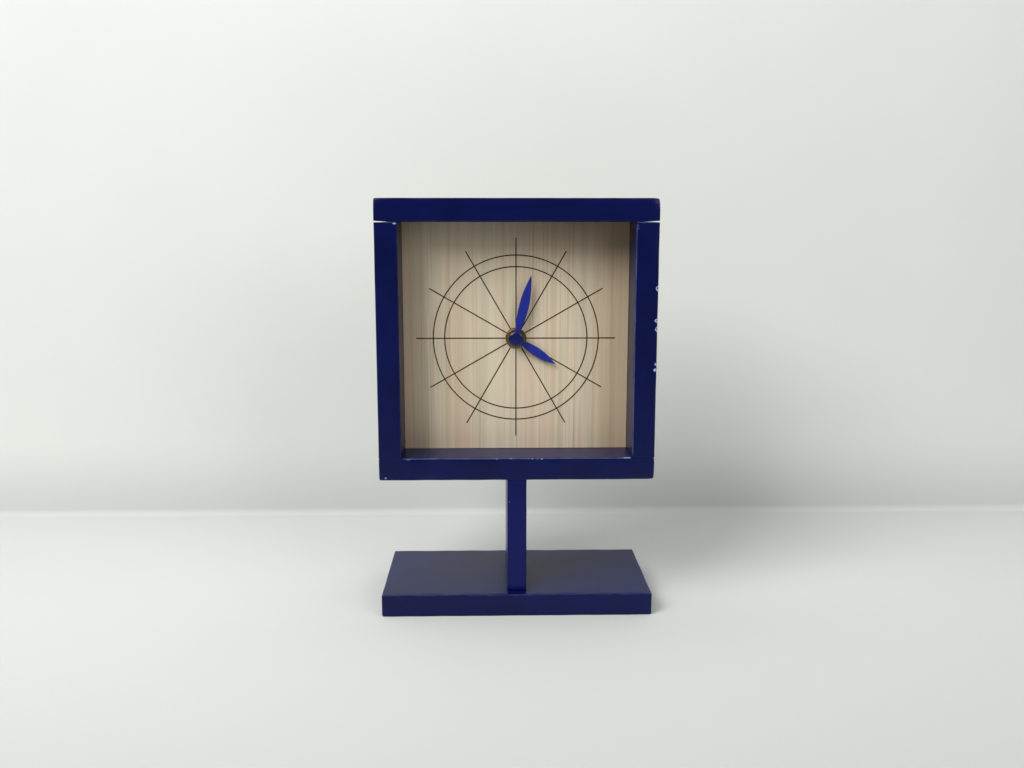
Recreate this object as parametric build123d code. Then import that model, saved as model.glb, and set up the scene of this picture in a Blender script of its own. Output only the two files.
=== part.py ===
from build123d import *
import os
from math import atan2, cos, degrees, radians, sin

# Desk clock: a box frame of painted boards on a post and a base, with a recessed wood dial,
# two leaf hands and a quartz movement behind the dial. Millimetres. X is right, Y is back, Z is up.
# The origin is the middle of the base's underside.

# Wooden case
base_width = 151.0
base_depth = 76.0
base_thickness = 12.5
post_width = 10.8
post_height = 64.2
frame_width = 152.2
frame_height = 153.5
frame_depth = 64.0
board = 12.5
edge_radius = 0.8
left_joint_gap = 0.6
left_joint_run = 7.5
right_joint_gap = 0.6
right_joint_run = 6.0

# Dial
dial_recess = 24.4
veneer = 0.6
backer = 4.0
panel_gap = 0.15
hub_drop = 0.55
spoke_count = 12
spoke_inner = 6.0
spoke_outer = 56.2
outer_circle = 46.6
inner_circle = 40.2
line_width = 0.6
line_height = 0.12
cleat = 8.0

# Wood screws and brads
screw_radius = 1.7
screw_head_radius = 3.6
screw_head_height = 2.6
screw_sink = 0.4
screw_length = 34.0
screw_spread = 32.0
post_screw_front = 8.0
post_screw_spacing = 15.0
brad_radius = 0.7
brad_length = 32.0
brad_set = 0.4
brad_spread = 36.0
fastener_fit = 0.05

# Shaft stack in front of the movement
gasket = 0.5
gasket_radius = 11.0
bushing_radius = 3.95
bushing_flange = 1.8
bushing_flange_height = 0.75
bushing_stand = 0.2
shaft_fit = 0.05
hole_fit = 0.2
washer = 0.4
washer_radius = 5.9
nut = 1.0
nut_radius = 5.4
nut_slot = 1.4
nut_slot_depth = 0.5
nut_slot_angle = 45.0
nut_bevel = 0.35
tube_wall = 0.95
arbor_radius = 1.5
hand_seat_radius = 1.3

# Hands and cap: lengths from the hub, widths across the leaf, angles clockwise from twelve
hand_thickness = 0.5
hour_stand = 2.7
hour_length = 26.7
hour_width = 5.0
hour_angle = 123.2
minute_stand = 4.7
minute_length = 36.6
minute_width = 5.5
minute_angle = 13.4
leaf_root_width = 2.1
leaf_belly = 0.5
hour_collet = 0.8
collet_length = 0.3
minute_eye_radius = 3.2
cap_radius = 4.4
cap_height = 1.9
cap_rim = 1.3
seat_length = 1.3

# Gears: the motion work carries the hands, the train runs from the rotor to the centre wheel
motion_module = 0.40
centre_module = 0.30
train_module = 0.25
cannon_teeth = 15
motion_teeth = 45
motion_leaves = 12
hour_teeth = 48
centre_teeth = 64
third_teeth = 60
seconds_teeth = 48
fifth_teeth = 40
train_leaves = 8
motion_bearing = 150.0
third_bearing = 40.0
seconds_bearing = 62.0
fifth_bearing = 165.0
rotor_bearing = 178.0
mesh_room = 0.05
wheel_addendum = 0.95
wheel_dedendum = 1.25
wheel_root_share = 0.60
leaf_addendum = 0.85
leaf_dedendum = 1.35
leaf_root_share = 0.42
tip_share = 0.22
motion_thickness = 1.0
train_thickness = 0.7
layer_gap = 0.3
leaf_overlap = 0.1
train_arbor = 0.6
pivot_radius = 0.4
pivot_length = 1.0
pivot_fit = 0.05
pivot_shake = 0.15

# Movement housing
case_wall = 1.2
case_front = 1.6
cover_thickness = 1.4
case_corner = 4.0
housing_round = 0.8
thumb_radius = 9.0
thumb_depth = 6.0
wheel_room = 0.8
plate_thickness = 1.0
plate_inset = 1.4
post_radius = 1.6
stake_radius = 0.9
stake_left_inset = 9.6
stake_right_inset = 4.8
stake_rise = 3.2
stake_drop = 7.2
boss_radius = 1.4
boss_length = 2.2
snap_width = 10.0
snap_thickness = 0.9
snap_reach = 6.0
nub_width = 4.0
nub_height = 1.5
nub_reach = 0.6
snap_fit = 0.3

# Clutch and setting knob
clutch_bore = 1.0
clutch_radius = 2.7
clutch_leaf = 0.15
clutch_hub_radius = 1.7
clutch_hub_length = 0.65
setting_radius = 1.2
setting_pivot = 0.6
knob_radius = 5.2
knob_height = 3.6
knob_stand = 0.4
knob_ridges = 24
knob_ridge_depth = 0.35

# Motor
magnet_radius = 2.6
magnet_length = 2.0
stator_thickness = 0.8
stator_hole_room = 0.5
stator_rim = 1.5
stator_leg = 4.6
stator_bar = 5.0
coil_rise = 6.65
coil_length = 18.4
coil_flange = 2.4
coil_flange_thickness = 0.8
coil_wall = 0.5
core_width = 2.6
winding_radius = 2.1
core_screw_radius = 0.9
core_screw_head = 1.6
core_screw_head_height = 0.8
core_screw_reach = 3.0

# Electronics and battery
battery_diameter = 14.2
battery_length = 50.2
battery_nub_radius = 2.7
battery_nub_length = 1.0
battery_shoulder = 0.6
battery_room = 0.6
battery_float = 0.1
contact_room = 1.7
contact_thickness = 0.3
contact_width = 9.0
contact_wall_gap = 0.05
contact_dimple = 0.55
contact_dimple_radius = 2.2
contact_tail = 4.8
contact_slot = 1.0
leaf_bow_half = 5.6
strip_width = 2.0
saddle_spread = 24.0
saddle_thickness = 1.6
saddle_height = 3.4
circuit_width = 12.0
circuit_height = 20.0
circuit_thickness = 1.0
circuit_inset = 0.6
circuit_post_inset = 2.6
crystal_radius = 1.0
crystal_length = 6.0
crystal_from_left = 8.4
crystal_from_bottom = 15.0
chip_radius = 2.6
chip_height = 0.9
chip_round = 0.6
chip_from_left = 7.8
chip_from_bottom = 7.0

# Places worked out from the sizes above
frame_bottom = base_thickness + post_height
frame_top = frame_bottom + frame_height
frame_front = -frame_depth / 2
frame_back = frame_depth / 2
opening_half = frame_width / 2 - board
opening_bottom = frame_bottom + board
opening_top = frame_top - board
hub_z = (opening_bottom + opening_top) / 2 - hub_drop
dial_face = frame_front + dial_recess
backer_face = dial_face + veneer
backer_back = backer_face + backer
movement_front = backer_back + gasket
nut_face = dial_face - washer
bushing_front = nut_face - nut - bushing_stand
hour_face = dial_face - hour_stand
minute_face = dial_face - minute_stand
tube_radius = arbor_radius + shaft_fit + tube_wall


# Depths of the layers, front to back
def layer(front, thickness):
    return front, front + thickness


inner_front = movement_front + case_front
hour_layer = layer(inner_front + layer_gap, motion_thickness)
motion_layer = layer(hour_layer[1] + layer_gap, motion_thickness)
plate_layer = layer(motion_layer[1] + layer_gap, plate_thickness)
centre_layer = layer(plate_layer[1] + layer_gap, train_thickness)
third_layer = layer(centre_layer[1] + layer_gap, train_thickness)
seconds_layer = layer(third_layer[1] + layer_gap, train_thickness)
fifth_layer = layer(seconds_layer[1] + layer_gap, train_thickness)
magnet_layer = layer(fifth_layer[1] + layer_gap + leaf_overlap, magnet_length)
stator_front = (magnet_layer[0] + magnet_layer[1] - stator_thickness) / 2
stator_layer = layer(stator_front, stator_thickness)
core_layer = layer(stator_layer[1], stator_thickness)
core_depth = (core_layer[0] + core_layer[1]) / 2
boss_front = magnet_layer[1] + layer_gap
cover_front = max(boss_front + boss_length, core_depth + coil_flange + layer_gap)
cover_back = cover_front + cover_thickness
knob_front = cover_back + knob_stand
knob_back = knob_front + knob_height
clutch_front = centre_layer[1] + leaf_overlap


def polar(start, distance, bearing):
    return start[0] + distance * cos(radians(bearing)), start[1] + distance * sin(radians(bearing))


def mesh_distance(module, teeth, leaves):
    return module * (teeth + leaves) / 2 + mesh_room


def tip_radius(module, teeth):
    return module * (teeth / 2 + wheel_addendum)


# Arbor places round the hub, right and up from it
hub = (0.0, 0.0)
setting_place = polar(hub, mesh_distance(motion_module, motion_teeth, cannon_teeth), motion_bearing)
third_place = polar(hub, mesh_distance(centre_module, centre_teeth, train_leaves), third_bearing)
seconds_place = polar(third_place, mesh_distance(train_module, third_teeth, train_leaves), seconds_bearing)
fifth_place = polar(seconds_place, mesh_distance(train_module, seconds_teeth, train_leaves), fifth_bearing)
rotor_place = polar(fifth_place, mesh_distance(train_module, fifth_teeth, train_leaves), rotor_bearing)
train_places = (third_place, seconds_place, fifth_place, rotor_place)

# Housing limits round the hub
chamber_bottom = -(tip_radius(motion_module, hour_teeth) + wheel_room)
bay_top = chamber_bottom - case_wall
bay_bottom = bay_top - battery_diameter - battery_room
case_bottom = bay_bottom - case_wall
bay_half = battery_length / 2 + contact_room
case_half = bay_half + case_wall
coil_v = rotor_place[1] + coil_rise
chamber_top = coil_v + coil_flange + wheel_room
case_top = chamber_top + case_wall
battery_v = (bay_top + bay_bottom) / 2
battery_depth = inner_front + battery_float + battery_diameter / 2

# Motor legs: the coil fills the space between them
stator_hole = magnet_radius + stator_hole_room
right_leg = rotor_place[0] + stator_hole - stator_leg / 2 - stator_rim / 2
left_leg = right_leg - coil_length - stator_leg
motor_screws = ((left_leg, coil_v), (right_leg, coil_v))

# Circuit board corner and the stakes that hold the train plate
circuit_left = -bay_half + circuit_inset
circuit_bottom = chamber_bottom + contact_thickness + contact_wall_gap
circuit_places = [
    (circuit_left + circuit_post_inset, circuit_bottom + circuit_post_inset),
    (circuit_left + circuit_post_inset, circuit_bottom + circuit_height - circuit_post_inset),
]
circuit_layer = layer(fifth_layer[1] + layer_gap, circuit_thickness)
stake_places = [
    (column, row)
    for column in (stake_left_inset - bay_half, bay_half - stake_right_inset)
    for row in (chamber_bottom + stake_rise, chamber_top - stake_drop)
]

# Snaps hang from the cover's edge and catch on nubs on the housing's sides
snap_front = cover_front - snap_reach
nub_front = snap_front + nub_height

# The cell lies across the housing with its nub to the left, between its two contacts
cell_left = contact_wall_gap + contact_thickness + contact_dimple - bay_half
contact_front = battery_depth - contact_width / 2
contact_back = battery_depth + contact_width / 2


# An outline seen from the front, with the hub at its centre, filled between two depths
def slab(outline, front, back):
    face_plane = Plane(origin=(0, back, hub_z), x_dir=(1, 0, 0), z_dir=(0, -1, 0))
    return extrude(face_plane * outline, back - front)


def disc(place, radius, front, back):
    return slab(Pos(*place) * Circle(radius), front, back)


def block(low, high):
    size = [b - a for a, b in zip(low, high)]
    middle = [(a + b) / 2 for a, b in zip(low, high)]
    return Pos(*middle) * Box(*size)


# A rectangle in the front view, from its left, right, bottom and top
def panel(left, right, bottom, top):
    return Pos((left + right) / 2, (bottom + top) / 2) * Rectangle(right - left, top - bottom)


# A closed profile of radius and depth, turned about the hub's axis
def turned(points):
    profile_plane = Plane(origin=(0, 0, hub_z), x_dir=(1, 0, 0), z_dir=(0, 0, 1))
    profile = make_face(Polyline(*points, close=True))
    return revolve(profile_plane * profile, Axis((0, 0, hub_z), (0, 1, 0)))


# Straight-sided teeth between a root and a tip circle, one of them centred on tooth_angle
def toothed(teeth, root, tip, root_share, tooth_angle):
    corners = ((root, -root_share), (tip, -tip_share), (tip, tip_share), (root, root_share))
    points = [
        polar(hub, radius, tooth_angle + 360 / teeth * (tooth + share / 2))
        for tooth in range(teeth)
        for radius, share in corners
    ]
    return make_face(Polyline(*points, close=True))


def wheel_outline(teeth, module, tooth_angle):
    root = module * (teeth / 2 - wheel_dedendum)
    return toothed(teeth, root, tip_radius(module, teeth), wheel_root_share, tooth_angle)


def leaf_outline(leaves, module, tooth_angle):
    root = module * (leaves / 2 - leaf_dedendum)
    tip = module * (leaves / 2 + leaf_addendum)
    return toothed(leaves, root, tip, leaf_root_share, tooth_angle)


def bearing(start, end):
    return degrees(atan2(end[1] - start[1], end[0] - start[0]))


# A wheel has a tooth on the line to its pinion, and the pinion has a gap on the line back
def wheel_at(place, teeth, module, partner, front, back):
    return slab(Pos(*place) * wheel_outline(teeth, module, bearing(place, partner)), front, back)


def pinion_at(place, leaves, module, partner, front, back):
    gap_angle = bearing(place, partner) + 180 / leaves
    return slab(Pos(*place) * leaf_outline(leaves, module, gap_angle), front, back)


# A countersunk screw pointing up, with the flat of its head at height 0
def wood_screw():
    head = Pos(0, 0, screw_head_height / 2) * Cone(screw_head_radius, screw_radius, screw_head_height)
    shank_length = screw_length - screw_head_height - screw_radius
    shank = Pos(0, 0, screw_head_height + shank_length / 2) * Cylinder(screw_radius, shank_length)
    point = Pos(0, 0, screw_length - screw_radius / 2) * Cone(screw_radius, screw_radius / 4, screw_radius)
    return head + shank + point


# The hole that such a screw leaves, a little larger all round
def screw_hole():
    head_radius = screw_head_radius + fastener_fit
    hole_radius = screw_radius + fastener_fit
    mouth = Pos(0, 0, -screw_sink / 2) * Cylinder(head_radius, screw_sink)
    sink = Pos(0, 0, screw_head_height / 2) * Cone(head_radius, hole_radius, screw_head_height)
    reach = screw_length + fastener_fit
    return mouth + sink + Pos(0, 0, reach / 2) * Cylinder(hole_radius, reach)


# The heads sit just under the surface: two from below into the post, two from inside the frame
base_screw_places = [Pos(0, side * screw_spread / 2, screw_sink) for side in (-1, 1)]
post_screw_places = [
    Pos(0, post_screw_front + index * post_screw_spacing, opening_bottom - screw_sink) * Rot(180, 0, 0)
    for index in range(2)
]


def at_each(places, solid):
    group = [place * solid for place in places]
    return Compound(children=group)


def without_each(body, places, tool):
    for place in places:
        body = body - place * tool
    return body


# Brads stand upright, four through each rail, two into the end of each stile
brad_x = frame_width / 2 - board / 2
top_brad_places = [
    Pos(side * brad_x, end * brad_spread / 2, frame_top - brad_set - brad_length / 2)
    for side in (-1, 1)
    for end in (-1, 1)
]
bottom_brad_places = [
    Pos(side * brad_x, end * brad_spread / 2, frame_bottom + brad_set + brad_length / 2)
    for side in (-1, 1)
    for end in (-1, 1)
]
brad_places = top_brad_places + bottom_brad_places
brad_hole = Cylinder(brad_radius + fastener_fit, brad_length + 2 * brad_set)


def base_board():
    solid = block((-base_width / 2, -base_depth / 2, 0), (base_width / 2, base_depth / 2, base_thickness))
    solid = fillet(solid.edges(), edge_radius)
    return without_each(solid, base_screw_places, screw_hole())


def post_board():
    solid = block((-post_width / 2, frame_front, base_thickness), (post_width / 2, frame_back, frame_bottom))
    solid = fillet(solid.edges().filter_by(Axis.Z), edge_radius)
    return without_each(solid, base_screw_places + post_screw_places, screw_hole())


def rail(bottom):
    solid = block((-frame_width / 2, frame_front, bottom), (frame_width / 2, frame_back, bottom + board))
    solid = fillet(solid.edges(), edge_radius)
    return without_each(solid, brad_places, brad_hole)


def bottom_rail():
    return without_each(rail(frame_bottom), post_screw_places, screw_hole())


# A stile's upper end is sawn a little out of square, so its outer corner leaves a wedge of air
def stile(side, gap, run):
    inner = opening_half
    low = (min(side * inner, side * frame_width / 2), frame_front, opening_bottom)
    high = (max(side * inner, side * frame_width / 2), frame_back, opening_top)
    solid = fillet(block(low, high).edges().filter_by(Axis.Z), edge_radius)
    outer = side * frame_width / 2
    wedge = make_face(
        Polyline((outer - side * run, opening_top), (outer, opening_top - gap), (outer, opening_top), close=True)
    )
    wedge = extrude(Plane(origin=(0, frame_back, 0), x_dir=(1, 0, 0), z_dir=(0, -1, 0)) * wedge, frame_depth)
    return without_each(solid - wedge, brad_places, brad_hole)


def dial_outline():
    half = opening_half - panel_gap
    low = opening_bottom - hub_z + panel_gap
    high = opening_top - hub_z - panel_gap
    return panel(-half, half, low, high) - Circle(bushing_radius + hole_fit)


# Two circles and the spokes, printed as one layer of ink
def dial_lines():
    ink = None
    for radius in (outer_circle, inner_circle):
        ring = Circle(radius + line_width / 2) - Circle(radius - line_width / 2)
        ink = ring if ink is None else ink + ring
    for index in range(spoke_count):
        spoke = panel(spoke_inner, spoke_outer, -line_width / 2, line_width / 2)
        ink = ink + Rot(0, 0, index * 360 / spoke_count) * spoke
    reach = washer_radius + hole_fit
    return slab(ink - Circle(reach), dial_face - line_height, dial_face)


# Strips glued inside the frame behind the dial
def dial_cleats():
    half = opening_half
    low = opening_bottom - hub_z
    high = opening_top - hub_z
    strips = [
        panel(-half, half, high - cleat, high),
        panel(-half, half, low, low + cleat),
        panel(-half, cleat - half, low + cleat, high - cleat),
        panel(half - cleat, half, low + cleat, high - cleat),
    ]
    return Compound(children=[slab(strip, backer_back, backer_back + cleat) for strip in strips])


def dial_gasket():
    ring = Circle(gasket_radius) - Circle(bushing_radius + hole_fit)
    return slab(ring, backer_back, movement_front)


def dial_washer():
    ring = Circle(washer_radius) - Circle(bushing_radius + hole_fit)
    return slab(ring, nut_face, dial_face)


# A round nut with its front rim bevelled and two slots for a pin wrench
def dial_nut():
    bore = bushing_radius + shaft_fit
    front = nut_face - nut
    solid = turned([
        (bore, front), (nut_radius - nut_bevel, front), (nut_radius, front + nut_bevel),
        (nut_radius, nut_face), (bore, nut_face),
    ])
    slot = panel(-2 * nut_radius, 2 * nut_radius, -nut_slot / 2, nut_slot / 2)
    return solid - slab(Rot(0, 0, nut_slot_angle) * slot, front - nut, front + nut_slot_depth)


# A threaded sleeve whose flange seats in the housing's front wall
def shaft_bushing():
    bore = tube_radius + shaft_fit
    flange_front = inner_front - bushing_flange_height
    return turned([
        (bore, bushing_front), (bushing_radius, bushing_front), (bushing_radius, flange_front),
        (bushing_radius + bushing_flange, flange_front), (bushing_radius + bushing_flange, inner_front),
        (bore, inner_front),
    ])


# Half of a leaf is one arc from its root past its belly to the tip; the other half mirrors it
def leaf_shape(length, width, root):
    belly = root + (length - root) * leaf_belly
    half_root = leaf_root_width / 2
    right = ThreePointArc((half_root, root), (width / 2, belly), (0, length))
    left = ThreePointArc((0, length), (-width / 2, belly), (-half_root, root))
    foot = Polyline((-half_root, root), (-half_root, 0), (half_root, 0), (half_root, root))
    return make_face([right, left, foot])


def hour_hand():
    seat = tube_radius
    eye = Circle(seat + hour_collet)
    leaf = Rot(0, 0, -hour_angle) * leaf_shape(hour_length, hour_width, seat + hour_collet)
    blade = slab(eye + leaf - Circle(seat), hour_face, hour_face + hand_thickness)
    collet = slab(eye - Circle(seat), hour_face, hour_face + hand_thickness + collet_length)
    return blade + collet


def minute_hand():
    eye = Circle(minute_eye_radius)
    leaf = Rot(0, 0, -minute_angle) * leaf_shape(minute_length, minute_width, minute_eye_radius)
    return slab(eye + leaf - Circle(hand_seat_radius), minute_face, minute_face + hand_thickness)


# A domed cap: flat in the middle, rolled over at the rim, with a blind hole for the shaft's end
def cap_nut():
    rim_y = minute_face - cap_height + cap_rim
    front = minute_face - cap_height
    seat_front = minute_face - seat_length - shaft_fit
    roll = cap_rim * cos(radians(45))
    profile_plane = Plane(origin=(0, 0, hub_z), x_dir=(1, 0, 0), z_dir=(0, 0, 1))
    centre = (cap_radius - cap_rim, rim_y)
    edge = [
        Polyline((0, seat_front), (hand_seat_radius, seat_front), (hand_seat_radius, minute_face),
                 (cap_radius, minute_face), (cap_radius, rim_y)),
        ThreePointArc((cap_radius, rim_y), (centre[0] + roll, centre[1] - roll), (centre[0], front)),
        Polyline((centre[0], front), (0, front), (0, seat_front)),
    ]
    return revolve(profile_plane * make_face(edge), Axis((0, 0, hub_z), (0, 1, 0)))


# The minute arbor carries the cannon pinion in front of the plate and the clutch behind it
def minute_arbor():
    seat_front = minute_face - seat_length
    seat_back = minute_face + hand_thickness
    cannon_front = hour_layer[1] + layer_gap / 2
    cannon_back = plate_layer[0] - layer_gap / 2
    journal_back = plate_layer[1] + layer_gap / 2
    shoulder = boss_front - pivot_shake
    solid = disc(hub, hand_seat_radius, seat_front, seat_back)
    solid = solid + disc(hub, arbor_radius, seat_back, journal_back)
    solid = solid + pinion_at(hub, cannon_teeth, motion_module, setting_place, cannon_front, cannon_back)
    solid = solid + disc(hub, clutch_bore, journal_back, clutch_front + clutch_leaf + clutch_hub_length)
    solid = solid + disc(hub, train_arbor, journal_back, shoulder)
    return solid + disc(hub, pivot_radius, shoulder, shoulder + pivot_shake + pivot_length)


# A dished spring on the arbor that presses the centre wheel forward
def clutch_spring():
    hub_front = clutch_front + clutch_leaf
    hub_back = hub_front + clutch_hub_length
    return turned([
        (clutch_bore, hub_front), (clutch_hub_radius, hub_front), (clutch_radius, clutch_front),
        (clutch_radius, clutch_front + clutch_leaf), (clutch_hub_radius, hub_front + clutch_leaf),
        (clutch_hub_radius, hub_back), (clutch_bore, hub_back),
    ])


def hour_wheel():
    tube = Circle(tube_radius)
    solid = wheel_at(hub, hour_teeth, motion_module, setting_place, *hour_layer)
    solid = solid + slab(tube, hour_face, hour_layer[1])
    bore = Circle(arbor_radius + shaft_fit)
    return solid - slab(bore, hour_face - layer_gap, hour_layer[1] + layer_gap)


# The motion wheel, its pinion in front and the long arbor that carries the setting knob behind
def motion_wheel():
    pinion_front = hour_layer[0] - leaf_overlap
    pivot_front = inner_front - pivot_length + pivot_shake
    solid = wheel_at(setting_place, motion_teeth, motion_module, hub, *motion_layer)
    solid = solid + pinion_at(setting_place, motion_leaves, motion_module, hub, pinion_front, motion_layer[0])
    solid = solid + disc(setting_place, setting_pivot, pivot_front, pinion_front)
    return solid + disc(setting_place, setting_radius, motion_layer[1], knob_front + knob_height / 2)


def setting_knob():
    grip = toothed(knob_ridges, knob_radius - knob_ridge_depth, knob_radius, wheel_root_share, 0)
    solid = slab(Pos(*setting_place) * grip, knob_front, knob_back)
    return solid - disc(setting_place, setting_radius, knob_front, knob_front + knob_height / 2)


def centre_wheel():
    solid = wheel_at(hub, centre_teeth, centre_module, third_place, *centre_layer)
    front, back = centre_layer
    return solid - disc(hub, clutch_bore + shaft_fit, front - layer_gap, back + layer_gap)


# A train arbor with pivots at both ends; its pinion runs from its driver's layer to its own wheel
def train_arbor_solid(place, pinion_partner, pinion_module, pinion_front, pinion_back):
    shoulder_front = plate_layer[1] + pivot_shake
    shoulder_back = boss_front - pivot_shake
    solid = disc(place, train_arbor, shoulder_front, shoulder_back)
    solid = solid + disc(place, pivot_radius, shoulder_front - pivot_shake - pivot_length, shoulder_front)
    solid = solid + disc(place, pivot_radius, shoulder_back, shoulder_back + pivot_shake + pivot_length)
    return solid + pinion_at(place, train_leaves, pinion_module, pinion_partner, pinion_front, pinion_back)


def third_wheel():
    pinion_front = centre_layer[0] - leaf_overlap
    solid = train_arbor_solid(third_place, hub, centre_module, pinion_front, third_layer[0])
    return solid + wheel_at(third_place, third_teeth, train_module, seconds_place, *third_layer)


def seconds_wheel():
    pinion_front = third_layer[0] - leaf_overlap
    solid = train_arbor_solid(seconds_place, third_place, train_module, pinion_front, seconds_layer[0])
    return solid + wheel_at(seconds_place, seconds_teeth, train_module, fifth_place, *seconds_layer)


def fifth_wheel():
    pinion_front = seconds_layer[0] - leaf_overlap
    solid = train_arbor_solid(fifth_place, seconds_place, train_module, pinion_front, fifth_layer[0])
    return solid + wheel_at(fifth_place, fifth_teeth, train_module, rotor_place, *fifth_layer)


def rotor_pinion():
    pinion_front = fifth_layer[0] - leaf_overlap
    pinion_back = fifth_layer[1] + leaf_overlap
    return train_arbor_solid(rotor_place, fifth_place, train_module, pinion_front, pinion_back)


def rotor_magnet():
    ring = Circle(magnet_radius) - Circle(train_arbor)
    return slab(Pos(*rotor_place) * ring, *magnet_layer)


# The U of soft iron round the rotor, open upwards where the coil goes
def stator():
    bar_v = rotor_place[1]
    foot = panel(left_leg - stator_leg / 2, right_leg, bar_v - stator_bar / 2, bar_v + stator_bar / 2)
    sketch = foot + Pos(*rotor_place) * Circle(stator_hole + stator_rim)
    for leg in (left_leg, right_leg):
        sketch = sketch + panel(leg - stator_leg / 2, leg + stator_leg / 2, bar_v, coil_v + coil_flange)
        sketch = sketch - Pos(leg, coil_v) * Circle(core_screw_radius + fastener_fit)
    return slab(sketch - Pos(*rotor_place) * Circle(stator_hole), *stator_layer)


def coil_core():
    ends = stator_leg / 2
    sketch = panel(left_leg - ends, right_leg + ends, coil_v - core_width / 2, coil_v + core_width / 2)
    for place in motor_screws:
        sketch = sketch - Pos(*place) * Circle(core_screw_radius + fastener_fit)
    return slab(sketch, *core_layer)


# Everything on the coil is drawn square to its axis, which runs from the left leg to the right one
coil_start = left_leg + stator_leg / 2
coil_end = right_leg - stator_leg / 2
coil_plane = Plane(origin=(coil_start, core_depth, hub_z + coil_v), x_dir=(0, 1, 0), z_dir=(1, 0, 0))
core_hole = Rectangle(stator_thickness + 2 * fastener_fit, core_width + 2 * fastener_fit)


def along_coil(outline, start, end):
    return extrude(coil_plane.offset(start) * outline, end - start)


def coil_bobbin():
    length = coil_end - coil_start
    flange = Rectangle(2 * coil_flange, 2 * coil_flange) - core_hole
    barrel = Rectangle(stator_thickness + 2 * coil_wall, core_width + 2 * coil_wall) - core_hole
    room = fastener_fit
    solid = along_coil(barrel, room, length - room)
    solid = solid + along_coil(flange, room, room + coil_flange_thickness)
    return solid + along_coil(flange, length - room - coil_flange_thickness, length - room)


def coil_winding():
    barrel = Rectangle(stator_thickness + 2 * coil_wall, core_width + 2 * coil_wall)
    start = fastener_fit + coil_flange_thickness
    wound = RectangleRounded(2 * winding_radius, 2 * winding_radius, winding_radius / 2)
    return along_coil(wound - barrel, start, coil_end - coil_start - start)


def core_screws():
    screws = []
    for place in motor_screws:
        shank = disc(place, core_screw_radius, core_layer[1] - core_screw_reach, core_layer[1])
        head = disc(place, core_screw_head, core_layer[1], core_layer[1] + core_screw_head_height)
        screws.append(shank + head)
    return Compound(children=screws)


# The housing's outline in the front view
def case_outline():
    middle = (case_top + case_bottom) / 2
    return Pos(0, middle) * RectangleRounded(2 * case_half, case_top - case_bottom, case_corner)


# The whole housing before it is parted into case and lid, with its rear rim rounded
def housing():
    solid = slab(case_outline(), movement_front, cover_back)
    rim = solid.faces().sort_by(Axis.Y)[-1].edges()
    return fillet(rim, housing_round)


def movement_case():
    solid = housing()
    chamber = panel(-bay_half, bay_half, chamber_bottom, chamber_top)
    bay = panel(-bay_half, bay_half, bay_bottom, bay_top)
    solid = solid - slab(chamber, inner_front, cover_back) - slab(bay, inner_front, cover_back)
    solid = solid - slab(panel(-case_half, case_half, bay_top, case_top), cover_front, cover_back)
    # A thumb notch in the wall under the cell, to lift it out
    notch = Cylinder(thumb_radius, 2 * case_wall)
    solid = solid - Pos(0, cover_back + thumb_radius - thumb_depth, hub_z + case_bottom) * notch
    # Slots at both ends of the divider let the contacts through
    for side in (-1, 1):
        slot_inner = side * (bay_half - contact_slot)
        slot = panel(min(slot_inner, side * bay_half), max(slot_inner, side * bay_half), bay_top, chamber_bottom)
        solid = solid - slab(slot, inner_front, cover_back)
    # Seat for the bushing's flange, and the pivot hole of the setting arbor
    seat_front = inner_front - bushing_flange_height - fastener_fit
    solid = solid - disc(hub, bushing_radius + shaft_fit, movement_front, inner_front)
    solid = solid - disc(hub, bushing_radius + bushing_flange + fastener_fit, seat_front, inner_front)
    solid = solid - disc(setting_place, setting_pivot + pivot_fit, inner_front - pivot_length, inner_front)
    # Posts under the train plate, each ending in a stake that passes through it
    for place in stake_places:
        solid = solid + disc(place, post_radius, inner_front, plate_layer[0])
        solid = solid + disc(place, stake_radius, plate_layer[0], plate_layer[1] + layer_gap)
    # Saddles that cradle the cell
    cell_plane = Plane(origin=(-bay_half, battery_depth, hub_z + battery_v), x_dir=(0, 1, 0), z_dir=(1, 0, 0))
    cell = extrude(cell_plane * Circle(battery_diameter / 2 + battery_float), 2 * bay_half)
    for side in (-1, 1):
        middle = side * saddle_spread / 2
        rib = panel(middle - saddle_thickness / 2, middle + saddle_thickness / 2, bay_bottom, bay_top)
        solid = solid + (slab(rib, inner_front, inner_front + saddle_height) - cell)
    # Nubs that the cover's snaps catch on
    for side in (-1, 1):
        reach = case_half + nub_reach
        edge = panel(min(side * case_half, side * reach), max(side * case_half, side * reach),
                     -nub_width / 2, nub_width / 2)
        solid = solid + slab(edge, nub_front, nub_front + nub_height)
    return solid


# The lid over the wheels, with bearings for the rear pivots and two snaps over the housing's sides
def movement_cover():
    solid = housing() & slab(panel(-case_half, case_half, bay_top, case_top), cover_front, cover_back)
    for place in train_places + (hub,):
        solid = solid + disc(place, boss_radius, boss_front, cover_front)
        solid = solid - disc(place, pivot_radius + pivot_fit, boss_front, boss_front + pivot_length + pivot_shake)
    solid = solid + disc(setting_place, setting_radius + boss_radius, boss_front, cover_front)
    solid = solid - disc(setting_place, setting_radius + pivot_fit, boss_front, cover_back)
    for side in (-1, 1):
        inner = case_half + snap_fit / 3
        outer = inner + snap_thickness
        arm = panel(min(side * inner, side * outer), max(side * inner, side * outer),
                    -snap_width / 2, snap_width / 2)
        bridge = panel(min(side * outer, side * (case_half - case_wall)),
                       max(side * outer, side * (case_half - case_wall)), -snap_width / 2, snap_width / 2)
        window = panel(min(0, side * 2 * outer), max(0, side * 2 * outer),
                       -nub_width / 2 - snap_fit, nub_width / 2 + snap_fit)
        arm_solid = slab(arm, snap_front, cover_back)
        arm_solid = arm_solid - slab(window, nub_front - snap_fit, nub_front + nub_height + snap_fit)
        solid = solid + arm_solid + slab(bridge, cover_front, cover_back)
    return solid


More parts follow.
